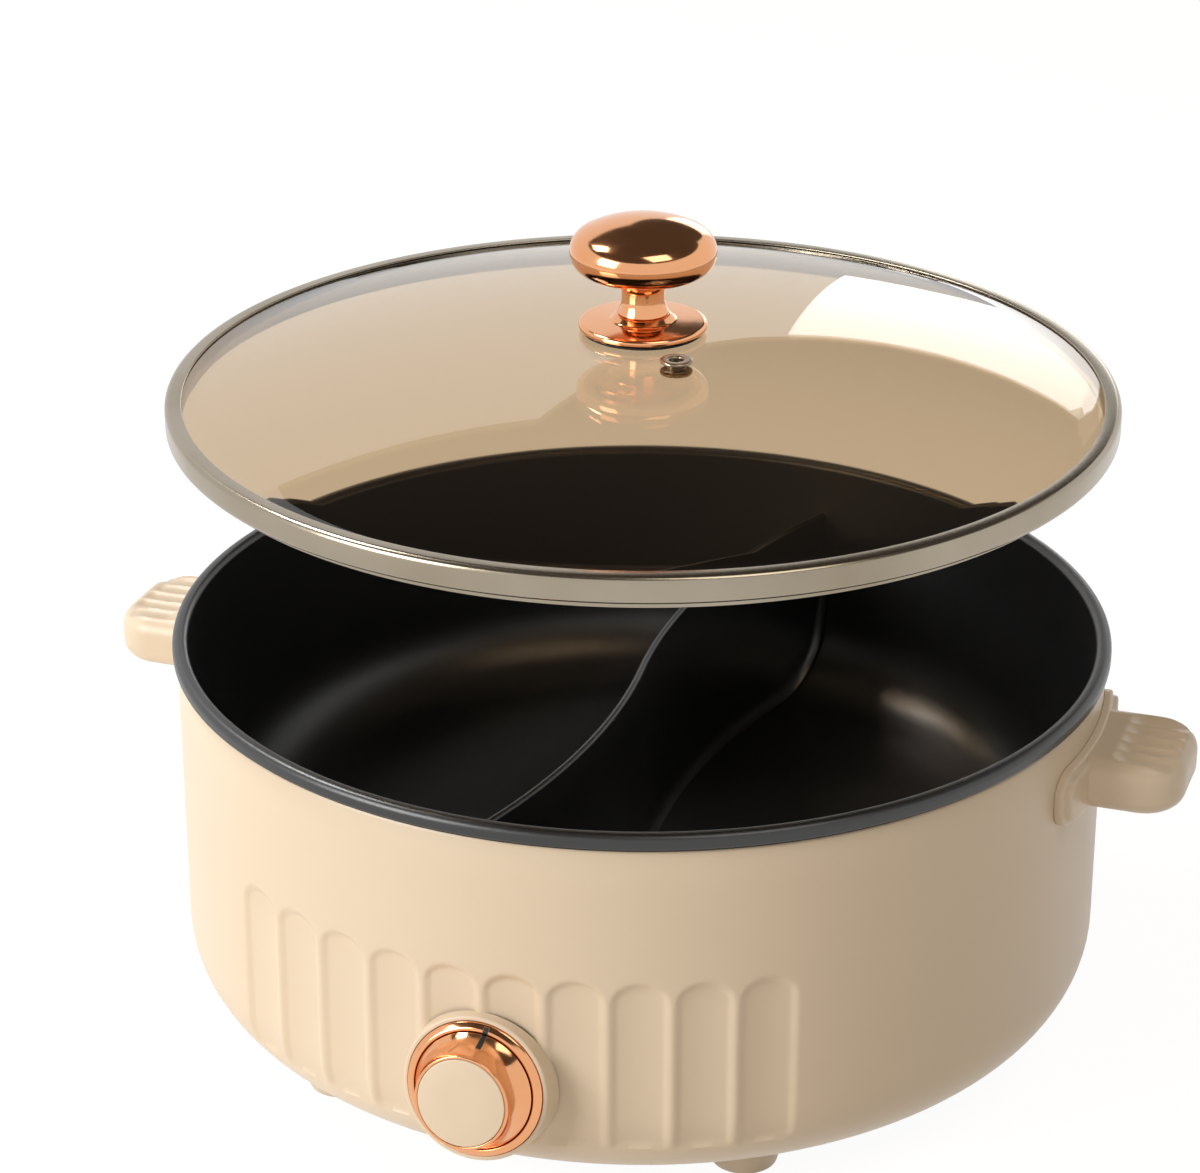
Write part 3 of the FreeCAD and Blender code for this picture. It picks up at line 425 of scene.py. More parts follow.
def applyNodes(piece, nodes):
    modifier = piece.modifiers.new(nodes.tree.name, "NODES")
    modifier.node_group = nodes.tree
    for key, value in nodes.sizes.items():
        modifier[nodes.ids[key]] = float(value)
    bpy.context.view_layer.update()
    done = piece.evaluated_get(bpy.context.evaluated_depsgraph_get())
    data = bpy.data.meshes.new_from_object(done)
    piece.modifiers.remove(modifier)
    piece.data = data


# Outer shell: a lathed wall, with Geometry Nodes pressing the flutes into its front.
shell = {"wall": 1.8, "corner": 27.0, "ledge": 28.5, "top": hiShell[2] / mm, "plain": 14.0,
         "fluteRows": 90.0, "rows": 62, "outerSteps": 24, "innerSteps": 12, "fine": 300,
         "coarse": 110, "margin": 0.4, "flutes": 10, "pitch": 7.35, "depth": 1.65, "flat": 0.3,
         "archTop": 81.6, "archHeight": 9.0, "edge": 0.3, "archEdge": 3.2, "fadeLow": 15.0,
         "fadeHigh": 27.0, "skin": 1.5}


def shellAngles():
    # Close steps across the flutes, wide ones round the rest.
    middle = -math.pi / 2
    half = math.radians(shell["pitch"] * (shell["flutes"] / 2 + shell["margin"]))
    front = spaced(middle - half, middle + half, shell["fine"])[:-1]
    return front + spaced(middle + half, middle + 2 * math.pi - half, shell["coarse"])[:-1]


def shellProfile():
    radius, low, top = shellR / mm, loShell[2] / mm, shell["top"]
    wall, corner = shell["wall"], shell["corner"]
    centre, start = radius - corner, low + corner
    points = [(centre - shell["ledge"], low)]
    points += arc(centre, start, corner, -90, 0, shell["outerSteps"])
    points += [(radius, z) for z in spaced(start, shell["fluteRows"], shell["rows"])[1:]]
    points += [(radius, top - shell["plain"]), (radius, top - 1.0), (radius - 0.3, top - 0.2),
               (radius - 0.8, top), (radius - wall, top), (radius - wall, start)]
    points += arc(centre, start, corner - wall, 0, -90, shell["innerSteps"])
    points.append((centre - shell["ledge"], low + wall))
    return points


def fluteTree(sizes):
    nodes = Nodes("pressFlutes", sizes)
    x, y, z = nodes.position()
    count = nodes.size("count")
    across = nodes.maths("ARCTAN2", x, y * -1.0) / nodes.size("pitch") + count * 0.5
    inside = nodes.maths("GREATER_THAN", across, 0.0) * nodes.maths("LESS_THAN", across, count)
    side = nodes.maths("ABSOLUTE", nodes.maths("FRACT", across) * 2.0 - 1.0)
    bulge = 1.0 - side ** 2.0
    scoop = nodes.smooth(1.0 - side, 0.0, nodes.size("edge")) * (
        nodes.size("flat") + (1.0 - nodes.size("flat")) * bulge)
    crown = nodes.maths("SQRT", nodes.maths("MAXIMUM", bulge, 0.0))
    arch = nodes.size("archTop") - nodes.size("archHeight") * (1.0 - crown)
    upper = nodes.smooth(arch - z, 0.0, nodes.size("archEdge"))
    lower = nodes.smooth(z, nodes.size("fadeLow"), nodes.size("fadeHigh"))
    radius = nodes.maths("SQRT", x ** 2.0 + y ** 2.0)
    outer = nodes.maths("GREATER_THAN", radius, nodes.size("skin"))
    press = scoop * upper * lower * inside * outer * nodes.size("depth")
    shrink = 1.0 - press / radius
    nodes.close(x * shrink, y * shrink, z, "cream")
    return nodes


def makeShell():
    piece = lathe("fluted_shell", shellProfile(), shellAngles())
    lengths = ("depth", "archTop", "archHeight", "archEdge", "fadeLow", "fadeHigh")
    sizes = {key: shell[key] * mm for key in lengths}
    sizes |= {"count": shell["flutes"], "pitch": math.radians(shell["pitch"]),
              "edge": shell["edge"], "flat": shell["flat"], "skin": shellR - shell["skin"] * mm}
    applyNodes(piece, fluteTree(sizes))
    softenEdges(piece, 50)
    dress(piece, "cream", "pot", "cream", "outer_shell")


makeShell()
print("shell made")


# Pan: a lathed wall with a rolled rim, and the S-shaped dividing wall.
pan = {"rimWidth": 5.0, "rimDepth": 4.6, "rimRound": 2.2, "hemRound": 0.8, "wall": 1.5,
       "taper": 3.0, "depth": 82.0, "corner": 26.0, "floor": 2.6}
panTop = rimZ / mm
panFloor = panTop - pan["depth"]
panInner = rimR / mm - pan["rimWidth"]
panLow = panInner - pan["taper"]


def makePan():
    outer = rimR / mm
    hem = panTop - pan["rimDepth"]
    under = panFloor - pan["floor"]
    points = [(0, panFloor), (panLow, panFloor, pan["corner"]),
              (panInner, panTop, pan["rimRound"]), (outer, panTop, pan["rimRound"]),
              (outer, hem, pan["hemRound"]), (panInner + pan["wall"], hem),
              (panLow + pan["wall"], under, pan["corner"] + pan["wall"]), (0, under)]
    piece = lathe("coated_pan", points, turns(192), closed=False, steps=14)
    softenEdges(piece, 60)
    dress(piece, "pan", "pot", "nonstick", "inner_pot")


divider = {"wall": 2.6, "drop": 18.0, "angle": 8.1, "bow": 9.8, "flare": 3.0, "gap": 0.3,
           "lift": 0.1, "least": 8.0, "steep": 0.98, "steepLift": 0.8, "steepRise": 8.0,
           "steps": 96}
dividerTop = panTop - divider["drop"]


def dividerLine():
    # Two equal arcs, one to each side of the chord, seen from above.
    reach = panInner - divider["gap"]
    bow = divider["bow"]
    radius = (reach * reach / 4 + bow * bow) / (2 * bow)
    turn = math.radians(divider["angle"])
    chord = Vector((math.sin(turn), math.cos(turn)))
    side = Vector((-chord.y, chord.x))
    line = []
    for t in spaced(-reach, reach, divider["steps"]):
        s = abs(t) - reach / 2
        sag = math.sqrt(radius * radius - s * s) - (radius - bow)
        line.append(chord * t + side * (sag if t > 0 else -sag))
    return line


def dividerBase(radius):
    # The wall's foot follows the pan's rounded corner, then climbs its steep side.
    corner = pan["corner"]
    over = max(0.0, radius - (panLow - corner))
    steep = corner * divider["steep"]
    if over > steep:
        lift = corner * divider["steepLift"] + (over - steep) * divider["steepRise"]
    else:
        lift = corner - math.sqrt(corner * corner - over * over)
    return panFloor + divider["lift"] + min(lift, dividerTop - panFloor - divider["least"])


def dividerSection(base):
    half = divider["wall"] / 2
    crownLow = dividerTop - half
    flank = [(-half - divider["flare"], 0.0), (-half - 0.9, 0.9), (-half - 0.1, 3.4),
             (-half, 8.0), (-half, 30.0), (-half, 45.0)]
    stretch = (crownLow - base) / flank[-1][1]
    left = [(x, base + h * stretch) for x, h in flank]
    crown = arc(0, crownLow, half, 180, 0, 9)
    return left + crown[1:-1] + [(-x, h) for x, h in reversed(left)]


def makeDivider():
    line = dividerLine()
    mesh = bmesh.new()
    rings = []
    for index, spot in enumerate(line):
        ahead = line[min(index + 1, len(line) - 1)] - line[max(index - 1, 0)]
        side = Vector((ahead.y, -ahead.x)).normalized()
        section = [(spot + side * x, h) for x, h in dividerSection(dividerBase(spot.length))]
        rings.append([mesh.verts.new((p.x * mm, p.y * mm, h * mm)) for p, h in section])
    bridge(mesh, rings)
    mesh.faces.new(rings[0])
    mesh.faces.new(rings[-1])
    piece = solidPiece("dividing_wall", mesh)
    softenEdges(piece, 60)
    dress(piece, "pan", "pot", "nonstick", "pot_divider")


makePan()
makeDivider()
print("pan made")


# Lid: domed glass, steel band, gold knob on its flange, and the small vent.
lid = {"bandWall": 0.8, "flange": 5.2, "lip": 2.4, "lipGap": 0.6, "glass": 4.0, "rise": 19.4,
       "hole": 5.0, "gasket": 0.5, "seam": 0.05, "ledge": 0.8, "rimRound": 0.8}
lidSeat = loBand[2] / mm + lid["lip"]
lidHigh = hiBand[2] / mm
lidOuter = (hiBand[0] - loBand[0]) / 2 / mm
glassLow = lidHigh - lid["bandWall"] - lid["glass"] - lid["seam"]
domeReach = lidOuter - lid["flange"] - lid["ledge"]
domeBall = (domeReach ** 2 + lid["rise"] ** 2) / (2 * lid["rise"])


def domeAt(radius, lift=0.0):
    return glassLow + lift + lid["rise"] - (domeBall - math.sqrt(domeBall ** 2 - radius ** 2))


def makeGlass():
    edge = lidOuter - lid["bandWall"] - 0.3
    high = glassLow + lid["glass"]
    top = [(r, domeAt(r, lid["glass"])) for r in spaced(lid["hole"], domeReach - 3, 40)]
    under = [(r, domeAt(r)) for r, _ in reversed(top)]
    points = top + [(domeReach + 1, high + 0.15), (edge, high, lid["rimRound"]),
                    (edge, glassLow, lid["rimRound"]), (domeReach + 1, glassLow)] + under
    piece = lathe("lid_dome", points, turns(192), steps=4)
    softenEdges(piece, 60)
    dress(piece, "glass", "lid", "glass", "lid_glass")


def makeBand():
    wall = lid["bandWall"]
    lip = panInner - lid["lipGap"]
    lipLow = lidSeat - lid["lip"]
    inner, edge = lidOuter - lid["flange"], lidOuter - wall
    under = lidHigh - wall + 0.1
    points = [(lip - wall, lipLow, 0.3), (lip, lipLow, 0.3), (lip, lidSeat, 0.3),
              (lidOuter, lidSeat, 2.0), (lidOuter, lidHigh, 1.8), (inner, lidHigh, 0.35),
              (inner, under, 0.3), (edge, under), (edge, lidSeat + wall),
              (lip, lidSeat + wall, 0.2), (lip, glassLow - 0.1), (lip - wall, glassLow - 0.1)]
    piece = lathe("lid_rim_band", points, turns(192), steps=5)
    softenEdges(piece, 50)
    dress(piece, "steel", "lid", "steel", "lid_band")


knob = {"grip": 22.8, "edge": 7.0, "tall": 17.8, "neck": 6.7, "neckTall": 15.6,
        "flange": 20.0, "flangeEdge": 2.4, "socket": 2.4}
knobLow = domeAt(0, lid["glass"]) + lid["gasket"]
neckLow = knobLow + knob["flangeEdge"]


def makeKnobPlate():
    wide, neck = knob["flange"], knob["neck"]
    high = neckLow + knob["socket"]
    plate = lathe("lid_knob_plate", [
        (0, knobLow), (wide, knobLow, 0.9), (wide, neckLow, 1.5), (neck + 3.4, neckLow + 0.5, 1.6),
        (neck + 1.8, high, 0.7), (0, high)], turns(96), closed=False, steps=8)
    softenEdges(plate, 50)
    dress(plate, "gold", "lid", "rose_gold", "lid_knob_flange")


def makeKnobGrip():
    neck, edge = knob["neck"], knob["edge"]
    start, low = neckLow + knob["socket"], neckLow + knob["neckTall"]
    high = low + knob["tall"]
    stem = [(0, start), (neck + 1.4, start, 0.5), (neck, neckLow + 6.0, 8), (neck, low - 4, 5),
            (neck + 5.0, low, 3)]
    side = arc(knob["grip"] - edge, low + edge, edge, -90, 60, 15)
    shoulder, crown = side[-1]
    rise = high - crown
    ball = (shoulder ** 2 + rise ** 2) / (2 * rise)
    dome = [(r, high - ball + math.sqrt(ball ** 2 - r ** 2)) for r in spaced(shoulder, 0, 14)]
    grip = lathe("lid_knob_grip", stem + side + dome[1:], turns(96), closed=False, steps=8)
    softenEdges(grip, 50)
    dress(grip, "gold", "lid", "rose_gold", "lid_knob")


vent = {"place": 30.0, "turn": -52.0, "hole": 3.0, "wall": 0.8, "width": 2.0, "lip": 0.8,
        "proud": 0.6}


def makeVent():
    under = domeAt(vent["place"]) - vent["proud"]
    over = domeAt(vent["place"], lid["glass"]) + vent["proud"]
    hole, ring = vent["hole"], vent["hole"] + vent["width"]
    bore = hole - vent["wall"]
    low, high = under - vent["lip"], over + vent["lip"]
    eyelet = lathe("vent_eyelet", [
        (bore, low, 0.2), (ring, low, 0.3), (ring, under, 0.2), (hole, under), (hole, over),
        (ring, over, 0.2), (ring, high, 0.6), (bore, high, 0.5)], turns(48), steps=4)
    turn = math.radians(vent["turn"])
    reach = vent["place"] * mm
    moveMesh(eyelet, Matrix.Translation((reach * math.cos(turn), reach * math.sin(turn), 0)))
    softenEdges(eyelet, 50)
    dress(eyelet, "steel", "lid", "steel", "steam_vent")


makeGlass()
makeBand()
makeKnobPlate()
makeKnobGrip()
makeVent()
print("lid made")


# Control knob: cream bezel, gold trim ring, flared gold knob and cream cap, on a tilted axis.
control = {"tilt": 8.8, "height": 44.0, "reach": 154.0, "bezel": 22.7, "bezelRound": 0.9,
           "bezelDeep": 16.0, "bezelGap": 0.15, "bezelEdge": 0.15, "bezelSink": 0.5,
           "trim": 21.2, "trimWidth": 2.6, "rise": 1.6, "wall": 2.0, "gap": 0.35, "out": 11.65,
           "face": 14.6, "flare": 2.2, "cap": 13.6, "capGap": 0.12, "capDeep": 3.0,
           "proud": 0.5}
pointer = {"turn": 9.0, "inner": 15.6, "outer": 20.6, "half": 0.85, "edge": 0.15}


def pointerMark(look):
    # A painted tick, placed by object coordinates seen along the knob's tilted axis.
    x, y, z = look.split(look.node("ShaderNodeTexCoord", out="Object"))
    tilt = math.radians(control["tilt"])
    turn = math.radians(pointer["turn"])
    up = ((z - control["height"] * mm) * math.cos(tilt)
          + (y + control["reach"] * mm) * math.sin(tilt))
    along = up * math.cos(turn) + x * math.sin(turn)
    across = look.maths("ABSOLUTE", x * math.cos(turn) - up * math.sin(turn))
    inner, outer, half, edge = (pointer[key] * mm for key in ("inner", "outer", "half", "edge"))
    return (look.smooth(across, half + edge, half - edge)
            * look.smooth(along, inner - edge, inner + edge)
            * look.smooth(along, outer + edge, outer - edge))


looks["goldMarked"] = roseGold("markedPlating", pointerMark)


def knobMatrix():
    place = Matrix.Translation((0, -control["reach"] * mm, control["height"] * mm))
    return place @ Matrix.Rotation(math.radians(90 - control["tilt"]), 4, "X")


def makeTrim():
    c = control
    inner = c["trim"] - c["trimWidth"]
    trim = lathe("knob_surround", [
        (inner, -c["wall"]), (c["trim"], -c["wall"]), (c["trim"], 0.4, 1.0),
        (inner + 0.9, c["rise"], 1.2), (inner, c["rise"], 0.4)], turns(96))
    moveMesh(trim, knobMatrix())
    softenEdges(trim, 50)
    dress(trim, "goldMarked", "pot", "rose_gold", "knob_trim_ring")


def makeSkirt():
    c = control
    base = c["trim"] - c["trimWidth"] - c["gap"]
    low, seat, socket = c["gap"] - c["wall"], c["out"] - c["capDeep"], c["cap"] + c["capGap"]
    flare = [(c["face"] + (base - c["face"]) * (1 - t) ** c["flare"],
              c["rise"] + (c["out"] - c["rise"]) * t) for t in spaced(0, 1, 14)[1:-1]]
    points = [(0, low), (base, low), (base, c["rise"], 0.4)] + flare
    points += [(c["face"], c["out"], 0.35), (socket, c["out"], 0.2), (socket, seat), (0, seat)]
    skirt = lathe("heat_knob", points, turns(96), closed=False, steps=5)
    moveMesh(skirt, knobMatrix())
    softenEdges(skirt, 50)
    dress(skirt, "goldMarked", "knob", "rose_gold", "control_knob")


def makeCap():
    c = control
    seat, high = c["out"] - c["capDeep"], c["out"] + c["proud"]
    cap = lathe("heat_knob_cap", [
        (0, seat), (c["cap"], seat), (c["cap"], c["out"] + 0.1, 0.4), (c["cap"] * 0.55, high, 20),
        (0, high)], turns(96), closed=False)
    moveMesh(cap, knobMatrix())
    softenEdges(cap, 50)
    dress(cap, "cream", "knob", "cream", "knob_cap")


def shellDrop(point):
    # How far in front of the shell's outside a point lies, level with its own height.
    low = loShell[2] / mm + shell["corner"]
    under = max(0.0, low - point.z / mm)
    if under >= shell["corner"]:
        return math.inf
    radius = shellR / mm - shell["corner"] + math.sqrt(shell["corner"] ** 2 - under ** 2)
    return math.hypot(point.x, point.y) / mm - radius


def makeBezel():
    # Its back edge is drawn in along the axis until it has sunk into the shell.
    c = control
    inner = c["trim"] + c["bezelGap"]
    ring = lathe("knob_ring_bezel", [
        (inner, -c["wall"]), (c["bezel"] + 0.8, -c["bezelDeep"]), (c["bezel"], 0, c["bezelRound"]),
        (inner, 0, c["bezelEdge"])], turns(120))
    matrix = knobMatrix()
    moveMesh(ring, matrix)
    back = (matrix.to_3x3() @ Vector((0, 0, -1))).normalized()
    deepest = (c["bezelDeep"] - c["wall"]) * mm
    step = 0.1 * mm
    for corner in ring.data.vertices:
        if (matrix.inverted() @ corner.co).z >= -10 * mm:
            continue
        reach = 0.0
        start = corner.co - back * deepest
        while shellDrop(start + back * reach) > -c["bezelSink"] and reach < deepest:
            reach += step
        corner.co = start + back * reach
    softenEdges(ring, 50)
    dress(ring, "cream", "pot", "cream", "knob_bezel")


makeTrim()
makeSkirt()
makeCap()
makeBezel()
print("control knob made")


# Handles: a stepped plate bent round the shell and a soft lug, its ribs pressed by Geometry Nodes.
handle = {"half": 21.5, "reach": 179.5, "round": 13.5, "edge": 6.2, "thick": 17.4, "sink": 2.8,
          "ribs": 5, "pitch": 6.6, "ribRadius": 5.2, "ribDepth": 1.7, "ribStart": 5.0,
          "ribBefore": 1.5, "ribAfter": 4.0, "ribEnd": 2.0, "ribLeave": 4.0, "ribLow": 5.0,
          "ribHigh": 2.0, "plateHalf": 36.0, "plateTall": 19.0, "plateRound": 8.0,
          "plateOut": 2.8, "plateStep": 1.8, "plateSteps": 30, "lugSteps": 24, "topSteps": 34}
loPlate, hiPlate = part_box("right_handle_plate")
loGrip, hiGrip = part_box("right_handle_grip")
plateMiddle = (loPlate[2] + hiPlate[2]) / 2 / mm
gripMiddle = (loGrip[2] + hiGrip[2]) / 2 / mm
plateFace = shellR / mm + handle["plateOut"] + handle["plateStep"]


def roundedLoop(halfX, halfY, radius):
    flat, tall = halfX - radius, halfY - radius
    half = [Vector((x, halfY)) for x in spaced(-flat, flat, handle["plateSteps"])]
    half += [Vector(spot) for spot in arc(flat, tall, radius, 90, 0, 8)[1:]]
    half += [Vector((halfX, -tall))]
    half += [Vector(spot) for spot in arc(flat, -tall, radius, 0, -90, 8)[1:-1]]
    return half + [-spot for spot in half]


def makePlate(side, turn):
    radius = shellR / mm
    out, step = handle["plateOut"], handle["plateStep"]
    layers = [(0, 0.1), (0, out - 0.9), (0.25, out - 0.3), (0.8, out), (step - 0.1, out),
              (step, out + 0.1), (step, out + step - 0.9), (step + 0.25, out + step - 0.3),
              (step + 0.85, out + step)]
    layers += [(inset, out + step) for inset in (4.0, 5.5, 7.0, 8.5, 9.3)]
    mesh = bmesh.new()
    rings = []
    for inset, lift in layers:
        rings.append([])
        for spot in roundedLoop(handle["plateHalf"] - inset, handle["plateTall"] / 2 - inset,
                                max(handle["plateRound"] - inset, 0.15)):
            angle = math.asin(spot.x / radius)
            reach = (radius + lift) * mm
            rings[-1].append(mesh.verts.new((reach * math.cos(angle), reach * math.sin(angle),
                                             (plateMiddle + spot.y) * mm)))
    bridge(mesh, rings)
    last, flat = rings[-1], handle["plateSteps"]
    half = len(last) // 2
    for k in range(flat):
        mesh.faces.new((last[k], last[k + 1], last[half + flat - k - 1], last[half + flat - k]))
    mesh.faces.new(last[flat:half + 1])
    mesh.faces.new(last[half + flat:] + last[:1])
    plate = solidPiece(f"{side}_handle_pad", mesh)
    moveMesh(plate, Matrix.Rotation(math.radians(turn), 4, "Z"))
    softenEdges(plate, 50)
    dress(plate, "cream", "pot", "cream", f"{side}_handle_plate")


def gripLoop(inset):
    half, reach = handle["half"] - inset, handle["reach"] - inset
    radius = max(handle["round"] - inset, 0.2)
    start, steps = plateFace - handle["sink"], handle["lugSteps"]
    flank = [(x, -half) for x in spaced(start, reach - radius, steps)]
    flank += arc(reach - radius, radius - half, radius, -90, 0, 10)[1:-1]
    front = [(reach, y) for y in spaced(radius - half, half - radius, steps)]
    return flank + front + [(x, -y) for x, y in reversed(flank)]


def ribTree(sizes):
    nodes = Nodes("pressRibs", sizes)
    x, y, z = nodes.position()
    pitch, ball = nodes.size("pitch"), nodes.size("radius")
    cell = (nodes.maths("FRACT", y / pitch + 0.5) - 0.5) * pitch
    inside = nodes.maths("LESS_THAN", nodes.maths("ABSOLUTE", y), nodes.size("span"))
    groove = nodes.maths("SQRT", nodes.maths("MAXIMUM", ball ** 2.0 - cell ** 2.0, 0.0))
    dip = nodes.maths("MAXIMUM", groove - (ball - nodes.size("depth")), 0.0)
    entry = nodes.smooth(x, nodes.size("start"), nodes.size("full"))
    leave = nodes.smooth(nodes.size("end") - x, 0.0, nodes.size("leave"))
    upper = nodes.smooth(z, nodes.size("low"), nodes.size("high"))
    nodes.close(x, y, z - dip * entry * leave * upper * inside, "cream")
    return nodes


def ribSizes():
    start = plateFace + handle["ribStart"]
    top = gripMiddle + handle["thick"] / 2
    sizes = {"pitch": handle["pitch"], "span": handle["pitch"] * handle["ribs"] / 2,
             "radius": handle["ribRadius"], "depth": handle["ribDepth"],
             "start": start - handle["ribBefore"], "full": start + handle["ribAfter"],
             "end": handle["reach"] - handle["ribEnd"], "leave": handle["ribLeave"],
             "low": top - handle["ribLow"], "high": top - handle["ribHigh"]}
    return {key: value * mm for key, value in sizes.items()}


def makeGrip(side, turn):
    # Each layer is the lug's outline drawn in by an inset, from the underside to the top.
    edge, half = handle["edge"], handle["thick"] / 2
    rounding = arc(edge, edge - half, edge, -90, -180, 9)
    layers = [(inset, -half) for inset in (20.0, 16.0, 12.0, 9.0)] + rounding
    layers += [(inset, -height) for inset, height in reversed(rounding)]
    layers += [(inset, half) for inset in spaced(edge, handle["half"] - 0.3,
                                                 handle["topSteps"])[1:]]
    mesh = bmesh.new()
    rings = [[mesh.verts.new((x * mm, y * mm, (gripMiddle + height) * mm))
              for x, y in gripLoop(inset)] for inset, height in layers]
    bridge(mesh, rings, closed=False)
    last = len(rings[0]) - 1
    for seam in (rings[0], rings[-1]):
        for k in range(last // 2):
            corners = (seam[k], seam[k + 1], seam[last - k - 1], seam[last - k])
            mesh.faces.new(list(dict.fromkeys(corners)))
    grip = solidPiece(f"{side}_handle_lug", mesh)
    applyNodes(grip, ribTree(ribSizes()))
    moveMesh(grip, Matrix.Rotation(math.radians(turn), 4, "Z"))
    dress(grip, "cream", "pot", "cream", f"{side}_handle_grip")


for side, turn in (("right", 0), ("left", 180)):
    makePlate(side, turn)
    makeGrip(side, turn)
print("handles made")


# Feet: tapered cream feet seated on the shell's lower curve, with rubber pads.
feet = {"ring": 119.0, "angle": 56.0, "radius": 12.0, "taper": 1.8, "low": 0.6, "top": 11.0,
        "seat": 0.25, "pad": 7.0, "padTall": 0.9}


def shellUnder(radius):
    corner = shell["corner"]
    over = max(0.0, radius - (shellR / mm - corner))
    return loShell[2] / mm + corner - math.sqrt(max(corner ** 2 - over ** 2, 0.0))


def makeFoot(end, side, place):
    low, top, radius = feet["low"], feet["top"], feet["radius"]
    foot = lathe(f"{end}_{side}_foot", [
        (0, low), (radius - feet["taper"], low, 1.0), (radius, top), (0, top)],
        turns(72), closed=False, steps=5)
    moveMesh(foot, place)
    for corner in foot.data.vertices:
        if corner.co.z > (top - 0.5) * mm:
            under = shellUnder(math.hypot(corner.co.x, corner.co.y) / mm)
            corner.co.z = (under + feet["seat"]) * mm
    softenEdges(foot, 50)
    dress(foot, "cream", "pot", "cream", f"foot_{end}_{side}")


def makePad(end, side, place):
    tall = feet["padTall"]
    pad = lathe(f"{end}_{side}_pad", [(0, 0), (feet["pad"], 0, 0.3), (feet["pad"], tall),
                                      (0, tall)], turns(48), closed=False, steps=3)
    moveMesh(pad, place)
    softenEdges(pad, 50)
    dress(pad, "rubber", "pot", "rubber", f"foot_pad_{end}_{side}")


for end, along in (("front", -1), ("rear", 1)):
    for side, across in (("left", -1), ("right", 1)):
        angle = math.radians(feet["angle"])
        place = Matrix.Translation((across * feet["ring"] * math.cos(angle) * mm,
                                    along * feet["ring"] * math.sin(angle) * mm, 0))
        makeFoot(end, side, place)
        makePad(end, side, place)
print("feet made")


carried = {
    "black": ("base_cover", "power_inlet", "rotary_switch"),
    "rubber": ("rim_lining", "lid_knob_gasket", "thermal_fuse"),
    "brass": ("inlet_pins",),
    "steel": ("lid_washer", "lid_screw"),
    "zinc": ("cover_screws", "heating_element", "pot_stud", "upper_spacer", "lower_spacer",
             "heat_reflector", "stud_nut", "thermostat", "knob_shaft"),
}


def dressCarried():
    for look, names in carried.items():
        for name in names:
            node = frame["nodes"][name]
            for slot in node.material_slots:
                slot.material = looks[look]


dressCarried()
print("carried pieces dressed")


# Studio: the floor and the world show white to the camera, and the floor keeps a faint shadow.
# Only glossy rays see the dim ceiling and the bright card, which give the glass and the metal
# their reflections.
studio = {"white": (1, 1, 1, 1), "floorSize": 6.0, "floorShade": (0.8, 0.76, 0.7, 1),
          "shadowKept": 0.12, "whiteLevel": 1.08, "worldLevel": 0.24,
          "worldTint": (1.0, 0.9, 0.78, 1), "ceilingShade": fromScreen(82, 76, 70),
          "ceilingRadius": 2.85, "ceilingTop": 89.9, "ceilingColumns": 120, "ceilingRows": 24,
          "edgeLow": 18.0, "edgeHigh": 36.0, "edgeTurn": 14.5, "edgeBend": 0.045, "lift": 0.2,
          "cardLevel": 3.0, "cardFrom": 7.6, "cardTo": 22.0, "cardLow": 1.0, "cardGap": 0.3,
          "cardRadius": 0.97, "cardColumns": 24, "cardRows": 8}
view = {"azimuth": 19.0, "elevation": 24.15, "distance": 1.1596, "lens": 108.71,
        "sensor": 36.0, "aside": -0.0133, "above": 0.01071}


def viewAxes():
    # Level directions: to the camera's right, and from the pot towards the camera.
    a = math.radians(view["azimuth"])
    return Vector((math.cos(a), math.sin(a), 0)), Vector((math.sin(a), -math.cos(a), 0))


def makeFloor():
    mesh = bmesh.new()
    bmesh.ops.create_grid(mesh, x_segments=1, y_segments=1, size=studio["floorSize"] / 2)
    floor = meshPiece("studio_floor", mesh)
    look = Shader("studioFloor")
    matt = look.node("ShaderNodeBsdfDiffuse", None, {"Color": studio["floorShade"]})
    glow = look.node("ShaderNodeEmission", None,
                     {"Color": studio["white"], "Strength": studio["whiteLevel"]})
    seen = look.rays("Camera", "Glossy", "Transmission") * (1.0 - studio["shadowKept"])
    floor.data.materials.append(look.close(look.mix(seen, matt, glow)))


def makeWorld():
    world = bpy.data.worlds.new("studioSky")
    world.use_nodes = True
    sky = Tree(world.node_tree)
    sky.tree.nodes.clear()
    room = sky.node("ShaderNodeBackground", None,
                    {"Color": studio["worldTint"], "Strength": studio["worldLevel"]})
    white = sky.node("ShaderNodeBackground", None, {"Color": studio["white"]})
    output = sky.tree.nodes.new("ShaderNodeOutputWorld")
    sky.link(sky.mix(sky.rays("Camera", "Glossy", "Transmission"), room, white),
             output.inputs["Surface"])
    bpy.context.scene.world = world


def glossyOnly(name, colour, strength):
    look = Shader(name)
    clear = look.node("ShaderNodeBsdfTransparent")
    glow = look.node("ShaderNodeEmission", None, {"Color": colour, "Strength": strength})
    return look.close(look.mix(look.rays("Glossy"), clear, glow))


def edgeAt(azimuth):
    # The dim ceiling starts lowest a little to the right and draws the lid's curved reflection.
    off = (azimuth - studio["edgeTurn"] + 180) % 360 - 180
    return min(studio["edgeLow"] + studio["edgeBend"] * off * off, studio["edgeHigh"])


def skyPatch(name, azimuths, rows, lowest, highest, radius, material):
    # Azimuths count clockwise from straight behind the pot, as the camera sees it.
    right, towards = viewAxes()
    mesh = bmesh.new()
    columns = []
    for azimuth in azimuths:
        a = math.radians(azimuth)
        flat = right * math.sin(a) - towards * math.cos(a)
        columns.append([])
        for elevation in spaced(lowest(azimuth), highest(azimuth), rows):
            e = math.radians(elevation)
            spot = (flat * math.cos(e) + Vector((0, 0, math.sin(e)))) * radius
            columns[-1].append(mesh.verts.new(spot + Vector((0, 0, studio["lift"]))))
    bridge(mesh, columns, closed=False)
    patch = meshPiece(name, mesh)
    patch.data.materials.append(material)


